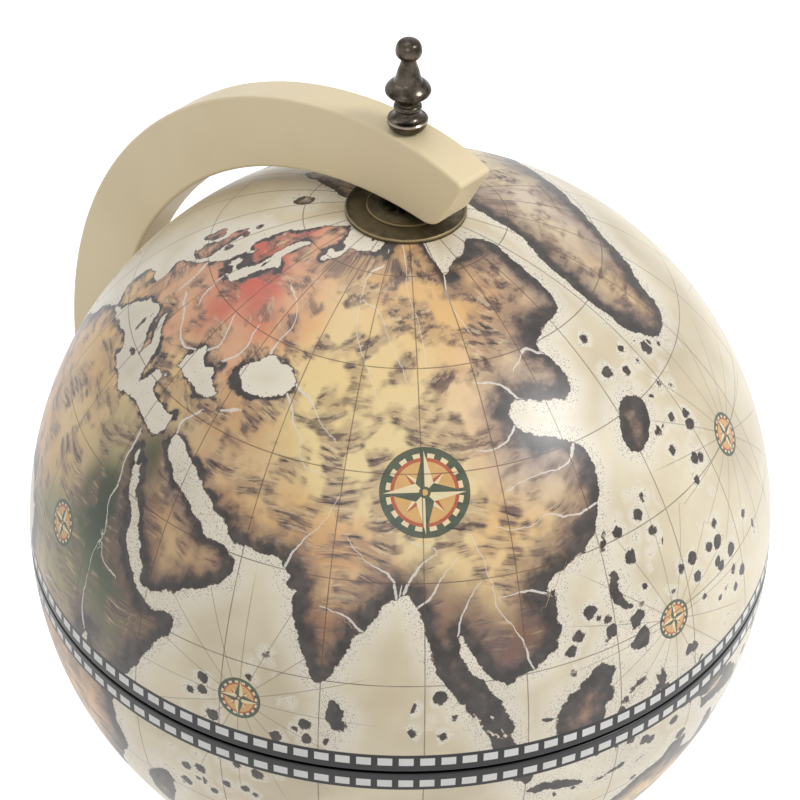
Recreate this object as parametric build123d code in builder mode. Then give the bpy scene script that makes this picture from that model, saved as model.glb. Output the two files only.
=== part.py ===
"""Tabletop globe bar.

A hollow globe in two halves hangs between the ends of a C-shaped arm, a half meridian that
stands in a turned pedestal on a round base. The arm is split a little below the equator and
hinged at the back, so the upper arm and the upper half of the globe tilt back together and open
the bar in the lower half. Each half of the globe also turns about the polar axis.

Millimetres. The origin is on the polar axis, on the underside of the base. +Z points up. The arm
stands on the +Y side and its nose points to -Y.
"""

from build123d import *
import os
from math import cos, radians, sin, sqrt

# ---------------------------------------------------------------- driving dimensions

# globe
globe_radius = 165.0
shell_wall = 4.0
seam_gap = 1.4
rim_round = 0.6

# arm, a half meridian in two pieces, set back and dropped a little from the globe's centre
arm_gap = 7.6
arm_depth = 32.4
arm_thickness = 18.6
arm_set_back = 1.7
arm_drop = 2.0
arm_edge_round = 1.4
arm_split_gap = 0.4
arm_split_depth = 22.0
nose_reach = 38.0
nose_drop = 6.8
nose_rake = 27.0
nose_heel_round = 10.0
nose_tip_round = 2.0
foot_reach = 32.0
foot_heel_round = 6.0
foot_toe_round = 3.0

# base
felt_thickness = 2.0
felt_inset = 14.0
base_radius = 140.0
base_thickness = 22.0
base_plinth_height = 8.0
base_moulding_width = 22.0
base_step = 3.0
base_lip_height = 3.0
base_cove_depth = 4.0
base_edge_round = 2.0

# turned pedestal, from the bottom up
foot_bead_radius = 4.0
pedestal_foot_radius = 60.0
cove_height = 17.5
cove_top_radius = 25.0
ring_bead_radius = 2.5
ring_radius = 29.0
waist_height = 12.0
waist_radius = 21.0
cup_height = 15.0
cup_radius = 41.0
cup_rim_height = 4.0
pedestal_step = 2.5
arm_seat_depth = 12.5
slot_fit = 0.15

# bolt that holds the base, the pedestal and the arm together
bolt_radius = 4.0
bolt_hole_clearance = 0.4
bolt_head_flats = 13.0
bolt_head_height = 5.3
bolt_washer_radius = 8.0
bolt_washer_thickness = 1.6
bolt_pocket_radius = 11.0
bolt_pocket_depth = 8.0
bolt_engagement = 14.0
insert_radius = 6.5
insert_length = 16.0
insert_recess = 0.5

# pole fittings
disc_radius = 25.4
disc_thickness = 1.2
disc_bead = 0.8
boss_radius = 16.5
boss_flat_radius = 11.5
boss_step = 1.0
boss_edge = 0.7
rod_radius = 3.0
tooth_count = 12
tooth_root_radius = 7.4
tooth_tip_radius = 10.0
tooth_root_width = 3.0
tooth_thickness = 1.0
pole_nut_flats = 13.0
pole_nut_clearance = 0.5
inner_boss_radius = 20.0
inner_boss_thickness = 4.0
cap_nut_flats = 10.0
cap_nut_height = 5.0
cap_nut_wall = 0.6
running_fit = 0.05
thrust_clearance = 0.1

# bush in the upper arm
bush_wall = 1.6
bush_flange_radius = 5.4
bush_flange_thickness = 0.6
bush_spot_face = 0.6
bush_recess = 0.3
spot_face_clearance = 0.3

# finial, heights above its own foot
bell_foot_radius = 5.8
bell_belly_radius = 8.0
bell_belly_height = 2.4
bell_radius = 8.5
bell_rim_height = 4.9
bell_lip = 0.6
bell_top_height = 9.0
finial_waist_radius = 4.8
collar_radius = 5.8
collar_height = 10.9
collar_top_height = 12.2
bulb_foot_radius = 5.8
bulb_foot_height = 14.6
bulb_radius = 9.4
bulb_height = 18.0
shoulder_radius = 5.9
shoulder_height = 22.4
neck_middle_radius = 4.4
neck_middle_height = 27.5
neck_radius = 3.1
neck_height = 32.9
ball_radius = 5.2
ball_height = 38.2
ball_half_height = 3.4
finial_rod_depth = 19.0

# south spindle and bush
spindle_radius = 5.0
spindle_thread_radius = 4.0
spindle_thread_length = 11.0
spindle_flange_radius = 10.0
spindle_spot_face = 0.5
thrust_washer_radius = 9.5
thrust_washer_thickness = 1.4
south_bush_radius = 8.0
south_bush_flange_radius = 11.0
south_bush_flange_thickness = 2.3
hub_radius = 24.0
hub_thickness = 4.0
ring_nut_flats = 24.0
ring_nut_thickness = 4.0
end_washer_radius = 9.5
end_washer_thickness = 1.0
end_clearance = 0.3
end_nut_flats = 13.0
end_nut_thickness = 4.5
spindle_end = 0.7

# bar fittings in the lower half, depths below the equator
collar_lip_height = 6.0
collar_lip_clearance = 1.0
collar_wall = 6.0
collar_edge_round = 1.5
glue_line = 0.05
tray_depth = 22.0
tray_thickness = 6.0
shelf_depth = 88.0
shelf_thickness = 6.0
board_clearance = 0.5
cleat_height = 10.0
cleat_width = 12.0
cleat_arc = 16.0
cleat_count = 4
rest_clearance = 2.5
rest_thickness = 6.0
bottle_hole_radius = 42.0
glass_hole_radius = 33.0
glass_circle_radius = 88.0
glass_count = 4
hole_round = 1.0

# hinge on the back of the arm
leaf_width = 17.0
leaf_height = 16.0
leaf_thickness = 1.8
leaf_rebate = 4.0
leaf_corner = 1.5
barrel_radius = 3.3
barrel_clearance = 0.4
hinge_pin_radius = 1.4
pin_head_radius = 2.4
pin_head_length = 1.2
knuckle_length = 4.8
knuckle_gap = 0.3
stop_reach = 9.0
stop_thickness = 1.0
stop_clearance = 0.2
screw_radius = 1.3
screw_head_radius = 2.5
screw_length = 12.0
screw_places = ((-4.8, 7.4), (0, 12.4), (4.8, 7.4))

# ---------------------------------------------------------------- derived sizes

shell_inner_radius = globe_radius - shell_wall
arm_inner_radius = globe_radius + arm_gap
arm_outer_radius = arm_inner_radius + arm_depth
arm_top = arm_outer_radius - arm_drop
arm_underside = arm_inner_radius - arm_drop
arm_floor = arm_inner_radius + arm_drop
foot_face = -foot_reach - arm_set_back

base_top = felt_thickness + base_thickness
foot_bead_top = 2 * foot_bead_radius
cove_top = foot_bead_top + cove_height
ring_top = cove_top + 2 * ring_bead_radius
cup_bottom = ring_top + waist_height
cup_rim_bottom = cup_bottom + cup_height
pedestal_height = cup_rim_bottom + cup_rim_height
pedestal_top = base_top + pedestal_height
arm_bottom = pedestal_top - arm_seat_depth
centre_height = arm_bottom + arm_outer_radius + arm_drop
split_height = centre_height - arm_split_depth

seat_radius = globe_radius + disc_thickness
boss_top = seat_radius + boss_step
tooth_top = boss_top + tooth_thickness
pole_nut_top = arm_underside - pole_nut_clearance
inner_boss_face = shell_inner_radius - inner_boss_thickness
cap_nut_face = inner_boss_face - cap_nut_height
rod_bottom = cap_nut_face + cap_nut_wall
bush_radius = rod_radius + bush_wall
bush_seat = arm_top - bush_spot_face
bush_top = bush_seat + bush_flange_thickness
finial_foot = bush_top + thrust_clearance

south_bush_face = boss_top + south_bush_flange_thickness
thrust_washer_top = south_bush_face + thrust_clearance
thrust_washer_bottom = thrust_washer_top + thrust_washer_thickness
spindle_seat = arm_floor + spindle_spot_face
hub_face = shell_inner_radius - hub_thickness
ring_nut_face = hub_face - ring_nut_thickness
end_washer_seat = ring_nut_face - end_clearance
end_nut_seat = end_washer_seat - end_washer_thickness
end_nut_face = end_nut_seat - end_nut_thickness
spindle_tip = end_nut_face - spindle_end

collar_inner_radius = shell_inner_radius - collar_wall
rest_depth = spindle_tip - rest_clearance - rest_thickness

split_below_arm_centre = arm_split_depth - arm_drop
split_back = arm_set_back + sqrt(arm_outer_radius**2 - split_below_arm_centre**2)
leaf_back = split_back - leaf_rebate
leaf_front = leaf_back + leaf_thickness
hinge_axis_y = leaf_back + barrel_clearance + barrel_radius
middle_knuckle = leaf_width - 2 * knuckle_length - 2 * knuckle_gap

# sections through the polar axis: local x runs outwards, local y runs to the pole
centre = (0, 0, centre_height)
north_section = Plane(centre, x_dir=(1, 0, 0), z_dir=(0, -1, 0))
south_section = Plane(centre, x_dir=(1, 0, 0), z_dir=(0, 1, 0))
# planes along the arm: local x runs to the back, local y runs up (north) or down (south)
arm_centre = (0, arm_set_back, centre_height - arm_drop)
north_arm_plane = Plane(arm_centre, x_dir=(0, 1, 0), z_dir=(1, 0, 0))
south_arm_plane = Plane(arm_centre, x_dir=(0, 1, 0), z_dir=(-1, 0, 0))
north_hinge_plane = Plane((0, 0, split_height), x_dir=(0, 1, 0), z_dir=(1, 0, 0))
south_hinge_plane = Plane((0, 0, split_height), x_dir=(0, 1, 0), z_dir=(-1, 0, 0))
bottom_left = (Align.MIN, Align.MIN)


def north_level(height):
    """Plane across the polar axis, at a height above the globe's centre."""
    return Plane((0, 0, centre_height + height))


def south_level(depth):
    """Plane across the polar axis, at a depth below the globe's centre, facing down."""
    return Plane((0, 0, centre_height - depth), x_dir=(1, 0, 0), z_dir=(0, 0, -1))


def turning_section(foot):
    """Section plane for a turned piece whose profile starts at this height above the table."""
    return Plane((0, 0, foot), x_dir=(1, 0, 0), z_dir=(0, -1, 0))


def on_sphere(radius, off_axis):
    """Height above the centre of a sphere's surface at a distance from its axis."""
    return sqrt(radius**2 - off_axis**2)


# ---------------------------------------------------------------- base and pedestal


def base_edge():
    """Half section of the turned base: a plinth, a cove and a lip."""
    plinth_radius = base_radius - base_step
    top_radius = base_radius - base_moulding_width
    lip_bottom = base_thickness - base_lip_height
    with BuildSketch() as section:
        with BuildLine():
            Polyline((0, 0), (base_radius, 0), (base_radius, base_plinth_height))
            Line((base_radius, base_plinth_height), (plinth_radius, base_plinth_height))
            SagittaArc(
                (plinth_radius, base_plinth_height),
                (top_radius + base_step, lip_bottom),
                base_cove_depth,
            )
            Polyline(
                (top_radius + base_step, lip_bottom),
                (top_radius, lip_bottom),
                (top_radius, base_thickness),
                (0, base_thickness),
                (0, 0),
            )
        make_face()
        rims = section.vertices().sort_by(Axis.X)[-2:]
        fillet(rims, base_edge_round)
    return section.sketch


with BuildPart() as base_felt:
    with BuildSketch():
        Circle(base_radius - felt_inset)
    extrude(amount=felt_thickness)
base_felt.part.label = "base_felt"

with BuildPart() as base_plate:
    with BuildSketch(turning_section(felt_thickness)):
        add(base_edge())
    revolve(axis=Axis.Z)
    with BuildSketch(Plane.XY.offset(felt_thickness)):
        Circle(bolt_pocket_radius)
    extrude(amount=bolt_pocket_depth, mode=Mode.SUBTRACT)
    with BuildSketch(Plane.XY.offset(felt_thickness)):
        Circle(bolt_radius + bolt_hole_clearance)
    extrude(amount=base_thickness, mode=Mode.SUBTRACT)
base_plate.part.label = "base_plate"


def pedestal_outline():
    """Half section of the turned pedestal: bead, cove, ring, waist and cup."""
    bead_edge = pedestal_foot_radius - foot_bead_radius
    ring_edge = ring_radius - ring_bead_radius
    with BuildSketch() as section:
        with BuildLine():
            Line((0, 0), (bead_edge, 0))
            ThreePointArc(
                (bead_edge, 0),
                (pedestal_foot_radius, foot_bead_radius),
                (bead_edge, foot_bead_top),
            )
            Line((bead_edge, foot_bead_top), (bead_edge - pedestal_step, foot_bead_top))
            Spline(
                (bead_edge - pedestal_step, foot_bead_top),
                (cove_top_radius, cove_top),
                tangents=((-1, 0.25), (0, 1)),
            )
            Line((cove_top_radius, cove_top), (ring_edge, cove_top))
            ThreePointArc(
                (ring_edge, cove_top),
                (ring_radius, cove_top + ring_bead_radius),
                (ring_edge, ring_top),
            )
            Line((ring_edge, ring_top), (waist_radius + pedestal_step / 2, ring_top))
            Spline(
                (waist_radius + pedestal_step / 2, ring_top),
                (waist_radius, ring_top + waist_height / 2),
                (waist_radius + pedestal_step, cup_bottom),
            )
            Spline(
                (waist_radius + pedestal_step, cup_bottom),
                (cup_radius, cup_rim_bottom),
                tangents=((1, 0.25), (0, 1)),
            )
            Polyline(
                (cup_radius, cup_rim_bottom),
                (cup_radius, pedestal_height),
                (0, pedestal_height),
                (0, 0),
            )
        make_face()
        rim = section.vertices().group_by(Axis.Y)[-1].sort_by(Axis.X)[-1]
        fillet(rim, cup_rim_height / 3)
    return section.sketch


with BuildPart() as pedestal:
    with BuildSketch(turning_section(base_top)):
        add(pedestal_outline())
    revolve(axis=Axis.Z)
    # mortise that takes the foot of the arm, open at the back
    with BuildSketch(north_arm_plane):
        Circle(arm_outer_radius)
        with Locations((foot_face - slot_fit, -2 * arm_outer_radius)):
            Rectangle(3 * arm_outer_radius, 2 * arm_outer_radius, align=bottom_left, mode=Mode.INTERSECT)
    extrude(amount=arm_thickness / 2 + slot_fit, both=True, mode=Mode.SUBTRACT)
    with BuildSketch(Plane.XY.offset(base_top)):
        Circle(bolt_radius + bolt_hole_clearance)
    extrude(amount=pedestal_height, mode=Mode.SUBTRACT)
pedestal.part.label = "pedestal"

bolt_seat = felt_thickness + bolt_pocket_depth

with BuildPart() as pedestal_washer:
    with BuildSketch(Plane.XY.offset(bolt_seat - bolt_washer_thickness)):
        Circle(bolt_washer_radius)
        Circle(bolt_radius, mode=Mode.SUBTRACT)
    extrude(amount=bolt_washer_thickness)
pedestal_washer.part.label = "pedestal_washer"

with BuildPart() as pedestal_bolt:
    head_bottom = bolt_seat - bolt_washer_thickness - bolt_head_height
    with BuildSketch(Plane.XY.offset(head_bottom)):
        RegularPolygon(bolt_head_flats / 2, 6, major_radius=False)
    extrude(amount=bolt_head_height)
    with BuildSketch(Plane.XY.offset(head_bottom)):
        Circle(bolt_radius)
    extrude(amount=arm_bottom + bolt_engagement - head_bottom)
pedestal_bolt.part.label = "pedestal_bolt"

with BuildPart() as arm_insert:
    with BuildSketch(Plane.XY.offset(arm_bottom + insert_recess)):
        Circle(insert_radius)
        Circle(bolt_radius, mode=Mode.SUBTRACT)
    extrude(amount=insert_length - insert_recess)
arm_insert.part.label = "arm_insert"

# ---------------------------------------------------------------- arm


nose_tip = (-nose_reach - arm_set_back, arm_outer_radius - nose_drop)


def nose_heel():
    """Point where the raked end face of the nose meets the arm's inner circle."""
    rake = radians(nose_rake)
    step = (sin(rake), -cos(rake))
    along = nose_tip[0] * step[0] + nose_tip[1] * step[1]
    short = along**2 - (nose_tip[0] ** 2 + nose_tip[1] ** 2 - arm_inner_radius**2)
    run = -along - sqrt(short)
    return (nose_tip[0] + run * step[0], nose_tip[1] + run * step[1])


def nosed_arm():
    """Upper arm's outline: an arc over the pole to a nose with a raked, rounded end."""
    heel = nose_heel()
    with BuildSketch() as outline:
        with BuildLine():
            Line((0, -arm_inner_radius), (0, -arm_outer_radius))
            CenterArc((0, 0), arm_outer_radius, -90, 180)
            TangentArc((0, arm_outer_radius), nose_tip, tangent=(-1, 0))
            Line(nose_tip, heel)
            ThreePointArc(heel, (arm_inner_radius, 0), (0, -arm_inner_radius))
        make_face()
        fillet(outline.vertices().sort_by_distance(nose_tip)[0], nose_tip_round)
        fillet(outline.vertices().sort_by_distance(heel)[0], nose_heel_round)
        with Locations((0, arm_split_gap / 2 - split_below_arm_centre)):
            Rectangle(
                3 * arm_outer_radius,
                3 * arm_outer_radius,
                align=(Align.CENTER, Align.MIN),
                mode=Mode.INTERSECT,
            )
    return outline.sketch


def footed_arm():
    """Lower arm's outline: an arc under the pole to a square foot."""
    with BuildSketch() as outline:
        Circle(arm_outer_radius)
        Circle(arm_inner_radius, mode=Mode.SUBTRACT)
        with Locations((foot_face, split_below_arm_centre + arm_split_gap / 2)):
            Rectangle(2 * arm_outer_radius, 2 * arm_outer_radius, align=bottom_left, mode=Mode.INTERSECT)
        heel = (foot_face, on_sphere(arm_inner_radius, foot_face))
        toe = (foot_face, on_sphere(arm_outer_radius, foot_face))
        fillet(outline.vertices().sort_by_distance(heel)[0], foot_heel_round)
        fillet(outline.vertices().sort_by_distance(toe)[0], foot_toe_round)
    return outline.sketch


def long_edges(part):
    """Edges that run along the arm's two sides and round its end, not those at the split."""
    sides = part.edges().filter_by(Axis.X, reverse=True)
    return sides.filter_by(lambda edge: abs(edge.center().Z - split_height) > arm_split_gap)


# the hinge leaves' outer face: local x runs across the arm, local y runs up
leaf_plane = Plane((0, leaf_front, split_height), x_dir=(1, 0, 0), z_dir=(0, -1, 0))


def screw_points(side):
    """Screw places on a leaf, above (1) or below (-1) the split."""
    return [(across, side * height) for across, height in screw_places]


def leaf_rebate_section():
    """Flat rebate on the arm's outer face, at the split, for one hinge leaf."""
    with BuildSketch() as rebate:
        with Locations((leaf_back, 0)):
            Rectangle(arm_depth, leaf_height, align=bottom_left)
    return rebate.sketch


with BuildPart() as upper_arm:
    with BuildSketch(north_arm_plane):
        add(nosed_arm())
    extrude(amount=arm_thickness / 2, both=True)
    fillet(long_edges(upper_arm), arm_edge_round)
    with BuildSketch(north_hinge_plane):
        add(leaf_rebate_section())
    extrude(amount=arm_thickness, both=True, mode=Mode.SUBTRACT)
    with BuildSketch(leaf_plane):
        with Locations(*screw_points(1)):
            Circle(screw_radius)
    extrude(amount=screw_length, mode=Mode.SUBTRACT)
    # bore for the bush, with a spot face for its flange
    with BuildSketch(north_level(0)):
        Circle(bush_radius)
    extrude(amount=2 * arm_outer_radius, mode=Mode.SUBTRACT)
    with BuildSketch(north_level(bush_seat)):
        Circle(bush_flange_radius + spot_face_clearance)
    extrude(amount=arm_depth, mode=Mode.SUBTRACT)
upper_arm.part.label = "upper_arm"

with BuildPart() as lower_arm:
    with BuildSketch(south_arm_plane):
        add(footed_arm())
    extrude(amount=arm_thickness / 2, both=True)
    fillet(long_edges(lower_arm), arm_edge_round)
    with BuildSketch(south_hinge_plane):
        add(leaf_rebate_section())
    extrude(amount=arm_thickness, both=True, mode=Mode.SUBTRACT)
    with BuildSketch(leaf_plane):
        with Locations(*screw_points(-1)):
            Circle(screw_radius)
    extrude(amount=screw_length, mode=Mode.SUBTRACT)
    # blind hole for the bolt's insert, from below
    with BuildSketch(Plane.XY.offset(arm_bottom - 1)):
        Circle(insert_radius)
    extrude(amount=1 + insert_length, mode=Mode.SUBTRACT)
    # threaded hole and spot face for the spindle, from above
    with BuildSketch(south_level(arm_floor - arm_depth)):
        Circle(spindle_thread_radius)
    extrude(amount=arm_depth + spindle_spot_face + spindle_thread_length, mode=Mode.SUBTRACT)
    with BuildSketch(south_level(arm_floor - arm_depth)):
        Circle(spindle_flange_radius + spot_face_clearance)
    extrude(amount=arm_depth + spindle_spot_face, mode=Mode.SUBTRACT)
lower_arm.part.label = "lower_arm"

# ---------------------------------------------------------------- hinge


def leaf_plate():
    """Leaf's plate in section, from clear of the other leaf's knuckles to its far end."""
    with BuildSketch() as section:
        with Locations((leaf_back, barrel_radius + barrel_clearance)):
            Rectangle(
                leaf_thickness,
                leaf_height - barrel_radius - barrel_clearance,
                align=bottom_left,
            )
    return section.sketch


def knuckle(bore):
    """Knuckle in section: the barrel and the strap that wraps onto the plate."""
    with BuildSketch() as section:
        with Locations((hinge_axis_y, 0)):
            Circle(barrel_radius)
        with Locations((leaf_back, arm_split_gap / 2)):
            Rectangle(leaf_thickness, 2 * barrel_radius, align=bottom_left)
        with Locations((hinge_axis_y, 0)):
            Circle(bore, mode=Mode.SUBTRACT)
    return section.sketch


def stop_lug():
    """Lug above the pin, in section, that the open upper leaf comes down on."""
    top = hinge_axis_y - leaf_front - stop_clearance
    inner = hinge_pin_radius + stop_clearance
    with BuildSketch() as section:
        with Locations((hinge_axis_y + inner, -top)):
            Rectangle(stop_reach - inner, stop_thickness, align=bottom_left)
    return section.sketch


outer_knuckle = (leaf_width - knuckle_length) / 2

with BuildPart() as hinge_leaf_upper:
    with BuildSketch(north_hinge_plane):
        add(leaf_plate())
    extrude(amount=leaf_width / 2, both=True)
    fillet(hinge_leaf_upper.edges().filter_by(Axis.Y).group_by(Axis.Z)[-1], leaf_corner)
    with BuildSketch(north_hinge_plane):
        add(knuckle(hinge_pin_radius + running_fit))
    extrude(amount=middle_knuckle / 2, both=True)
    with BuildSketch(leaf_plane):
        with Locations(*screw_points(1)):
            Circle(screw_head_radius)
    extrude(amount=screw_head_radius - screw_radius, taper=45, mode=Mode.SUBTRACT)
    with BuildSketch(leaf_plane):
        with Locations(*screw_points(1)):
            Circle(screw_radius)
    extrude(amount=leaf_thickness, mode=Mode.SUBTRACT)
hinge_leaf_upper.part.label = "hinge_leaf_upper"

with BuildPart() as hinge_leaf_lower:
    with BuildSketch(south_hinge_plane):
        add(leaf_plate())
    extrude(amount=leaf_width / 2, both=True)
    fillet(hinge_leaf_lower.edges().filter_by(Axis.Y).group_by(Axis.Z)[0], leaf_corner)
    for place in (-outer_knuckle, outer_knuckle):
        with BuildSketch(south_hinge_plane.offset(place)):
            add(knuckle(hinge_pin_radius))
            add(stop_lug())
        extrude(amount=knuckle_length / 2, both=True)
    with BuildSketch(leaf_plane):
        with Locations(*screw_points(-1)):
            Circle(screw_head_radius)
    extrude(amount=screw_head_radius - screw_radius, taper=45, mode=Mode.SUBTRACT)
    with BuildSketch(leaf_plane):
        with Locations(*screw_points(-1)):
            Circle(screw_radius)
    extrude(amount=leaf_thickness, mode=Mode.SUBTRACT)
hinge_leaf_lower.part.label = "hinge_leaf_lower"

with BuildPart() as hinge_pin:
    with BuildSketch(Plane((0, hinge_axis_y, split_height), x_dir=(0, 1, 0), z_dir=(1, 0, 0))):
        Circle(hinge_pin_radius)
    extrude(amount=leaf_width / 2, both=True)
    for side in (-1, 1):
        with BuildSketch(
            Plane((side * leaf_width / 2, hinge_axis_y, split_height), z_dir=(side, 0, 0))
        ):
            Circle(pin_head_radius)
        extrude(amount=pin_head_length)
    fillet(hinge_pin.edges().group_by(Axis.X)[-1], pin_head_length / 2)
    fillet(hinge_pin.edges().group_by(Axis.X)[0], pin_head_length / 2)
hinge_pin.part.label = "hinge_pin"


def screws(side):
    """Countersunk screws of one leaf, as separate solids."""
    with BuildPart() as group:
        with BuildSketch(leaf_plane):
            with Locations(*screw_points(side)):
                Circle(screw_head_radius)
        extrude(amount=screw_head_radius - screw_radius, taper=45)
        with BuildSketch(leaf_plane):
            with Locations(*screw_points(side)):
                Circle(screw_radius)
        extrude(amount=screw_length)
    return group.part


with BuildPart() as hinge_screws_upper:
    add(screws(1))
hinge_screws_upper.part.label = "hinge_screws_upper"

with BuildPart() as hinge_screws_lower:
    add(screws(-1))
hinge_screws_lower.part.label = "hinge_screws_lower"

# ---------------------------------------------------------------- globe halves


def half_shell(pole_bore):
    """Half section of a hollow half globe, from its rim to the bore at its pole."""
    with BuildSketch() as section:
        Circle(globe_radius)
        Circle(shell_inner_radius, mode=Mode.SUBTRACT)
        with Locations((pole_bore, seam_gap / 2)):
            Rectangle(globe_radius, globe_radius, align=bottom_left, mode=Mode.INTERSECT)
        fillet(section.vertices().group_by(Axis.Y)[0], rim_round)
    return section.sketch


def pole_plate(bore):
    """Half section of the plate that caps a pole, with a rolled edge."""
    bead_centre = disc_radius - disc_bead
    with BuildSketch() as section:
        Circle(seat_radius)
        with Locations((bead_centre, on_sphere(seat_radius, bead_centre))):
            Circle(disc_bead)
        Circle(globe_radius, mode=Mode.SUBTRACT)
        with Locations((bore, 0)):
            Rectangle(disc_radius - bore, 2 * globe_radius, align=bottom_left, mode=Mode.INTERSECT)
    return section.sketch


def pole_boss_section(bore):
    """Half section of the raised centre of a pole plate, flat round the bore."""
    rim = on_sphere(seat_radius, boss_radius)
    with BuildSketch() as section:
        with BuildLine():
            Polyline(
                (bore, shell_inner_radius),
                (boss_radius, shell_inner_radius),
                (boss_radius, rim + boss_edge),
                (boss_flat_radius, boss_top),
                (bore, boss_top),
                close=True,
            )
        make_face()
        Circle(seat_radius, mode=Mode.SUBTRACT)
    return section.sketch


def inner_seat(bore, radius, face):
    """Half section of a turned boss that fits the inside of the shell and has a flat face."""
    with BuildSketch() as section:
        Circle(shell_inner_radius)
        with Locations((bore, face)):
            Rectangle(radius - bore, globe_radius, align=bottom_left, mode=Mode.INTERSECT)
    return section.sketch


with BuildPart() as upper_hemisphere:
    with BuildSketch(north_section):
        add(half_shell(rod_radius))
    revolve(axis=Axis.Z)
upper_hemisphere.part.label = "upper_hemisphere"

with BuildPart() as lower_hemisphere:
    with BuildSketch(south_section):
        add(half_shell(south_bush_radius))
    revolve(axis=Axis.Z)
lower_hemisphere.part.label = "lower_hemisphere"

# ---------------------------------------------------------------- north pole fittings

with BuildPart() as pole_disc:
    with BuildSketch(north_section):
        add(pole_plate(rod_radius))
    revolve(axis=Axis.Z)
pole_disc.part.label = "pole_disc"

with BuildPart() as pole_boss:
    with BuildSketch(north_section):
        add(pole_boss_section(rod_radius))
    revolve(axis=Axis.Z)
pole_boss.part.label = "pole_boss"

with BuildPart() as toothed_washer:
    tooth_base_radius = tooth_root_radius * cos(radians(180 / tooth_count))
    with BuildSketch(north_level(boss_top)):
        Circle(tooth_root_radius)
        with PolarLocations(tooth_base_radius, tooth_count):
            Trapezoid(
                tooth_root_width,
                tooth_tip_radius - tooth_base_radius,
                72,
                rotation=-90,
                align=(Align.CENTER, Align.MIN),
            )
        Circle(rod_radius, mode=Mode.SUBTRACT)
    extrude(amount=tooth_thickness)
toothed_washer.part.label = "toothed_washer"

with BuildPart() as pole_nut:
    with BuildSketch(north_level(tooth_top)):
        RegularPolygon(pole_nut_flats / 2, 6, major_radius=False)
        Circle(rod_radius, mode=Mode.SUBTRACT)
    extrude(amount=pole_nut_top - tooth_top)
pole_nut.part.label = "pole_nut"

with BuildPart() as pole_rod:
    with BuildSketch(north_level(rod_bottom)):
        Circle(rod_radius)
    extrude(amount=finial_foot + finial_rod_depth - rod_bottom)
pole_rod.part.label = "pole_rod"

with BuildPart() as inner_boss:
    with BuildSketch(north_section):
        add(inner_seat(rod_radius, inner_boss_radius, inner_boss_face))
    revolve(axis=Axis.Z)
inner_boss.part.label = "inner_boss"

with BuildPart() as cap_nut:
    dome_radius = cap_nut_flats / 2 - cap_nut_wall
    with BuildSketch(north_level(cap_nut_face)):
        RegularPolygon(cap_nut_flats / 2, 6, major_radius=False)
    extrude(amount=cap_nut_height)
    with BuildSketch(north_section):
        with BuildLine():
            Line((0, cap_nut_face), (dome_radius, cap_nut_face))
            CenterArc((0, cap_nut_face), dome_radius, 0, -90)
            Line((0, cap_nut_face - dome_radius), (0, cap_nut_face))
        make_face()
    revolve(axis=Axis.Z)
    with BuildSketch(north_level(rod_bottom)):
        Circle(rod_radius)
    extrude(amount=cap_nut_height, mode=Mode.SUBTRACT)
cap_nut.part.label = "cap_nut"

with BuildPart() as arm_bush:
    with BuildSketch(north_level(arm_underside + bush_recess)):
        Circle(bush_radius)
    extrude(amount=bush_seat - arm_underside - bush_recess)
    with BuildSketch(north_level(bush_seat)):
        Circle(bush_flange_radius)
    extrude(amount=bush_flange_thickness)
    with BuildSketch(north_level(arm_underside)):
        Circle(rod_radius + running_fit)
    extrude(amount=2 * arm_depth, mode=Mode.SUBTRACT)
arm_bush.part.label = "arm_bush"

# ---------------------------------------------------------------- finial

finial_section = turning_section(centre_height + finial_foot)
rod_bore = (2 * rod_radius, 2 * finial_rod_depth)

with BuildPart() as finial_bell:
    with BuildSketch(finial_section):
        with BuildLine():
            Line((0, 0), (bell_foot_radius, 0))
            Spline(
                (bell_foot_radius, 0),
                (bell_belly_radius, bell_belly_height),
                (bell_radius, bell_rim_height),
                tangents=((1, 0.4), (0, 1)),
            )
            Line((bell_radius, bell_rim_height), (bell_radius - bell_lip, bell_rim_height + bell_lip))
            Spline(
                (bell_radius - bell_lip, bell_rim_height + bell_lip),
                (finial_waist_radius, bell_top_height),
                tangents=((-1, 0.15), (-0.1, 1)),
            )
            Polyline((finial_waist_radius, bell_top_height), (0, bell_top_height), (0, 0))
        make_face()
        Rectangle(*rod_bore, mode=Mode.SUBTRACT)
    revolve(axis=Axis.Z)
finial_bell.part.label = "finial_bell"

with BuildPart() as finial_urn:
    with BuildSketch(finial_section):
        with BuildLine():
            Line((0, bell_top_height), (finial_waist_radius, bell_top_height))
            ThreePointArc(
                (finial_waist_radius, bell_top_height),
                (collar_radius, collar_height),
                (finial_waist_radius, collar_top_height),
            )
            Spline(
                (finial_waist_radius, collar_top_height),
                (bulb_foot_radius, bulb_foot_height),
                (bulb_radius, bulb_height),
                (shoulder_radius, shoulder_height),
                tangents=((0, 1), (-1, 0.6)),
            )
            Spline(
                (shoulder_radius, shoulder_height),
                (neck_middle_radius, neck_middle_height),
                (neck_radius, neck_height),
                tangents=((-0.5, 1), (0, 1)),
            )
            Spline(
                (neck_radius, neck_height),
                (ball_radius, ball_height),
                (0, ball_height + ball_half_height),
                tangents=((1, 0.5), (-1, 0)),
            )
            Line((0, ball_height + ball_half_height), (0, bell_top_height))
        make_face()
        Rectangle(*rod_bore, mode=Mode.SUBTRACT)
    revolve(axis=Axis.Z)
finial_urn.part.label = "finial_urn"

# ---------------------------------------------------------------- south pole fittings

with BuildPart() as south_disc:
    with BuildSketch(south_section):
        add(pole_plate(south_bush_radius))
    revolve(axis=Axis.Z)
south_disc.part.label = "south_disc"

with BuildPart() as south_boss:
    with BuildSketch(south_section):
        add(pole_boss_section(south_bush_radius))
    revolve(axis=Axis.Z)
south_boss.part.label = "south_boss"

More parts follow.
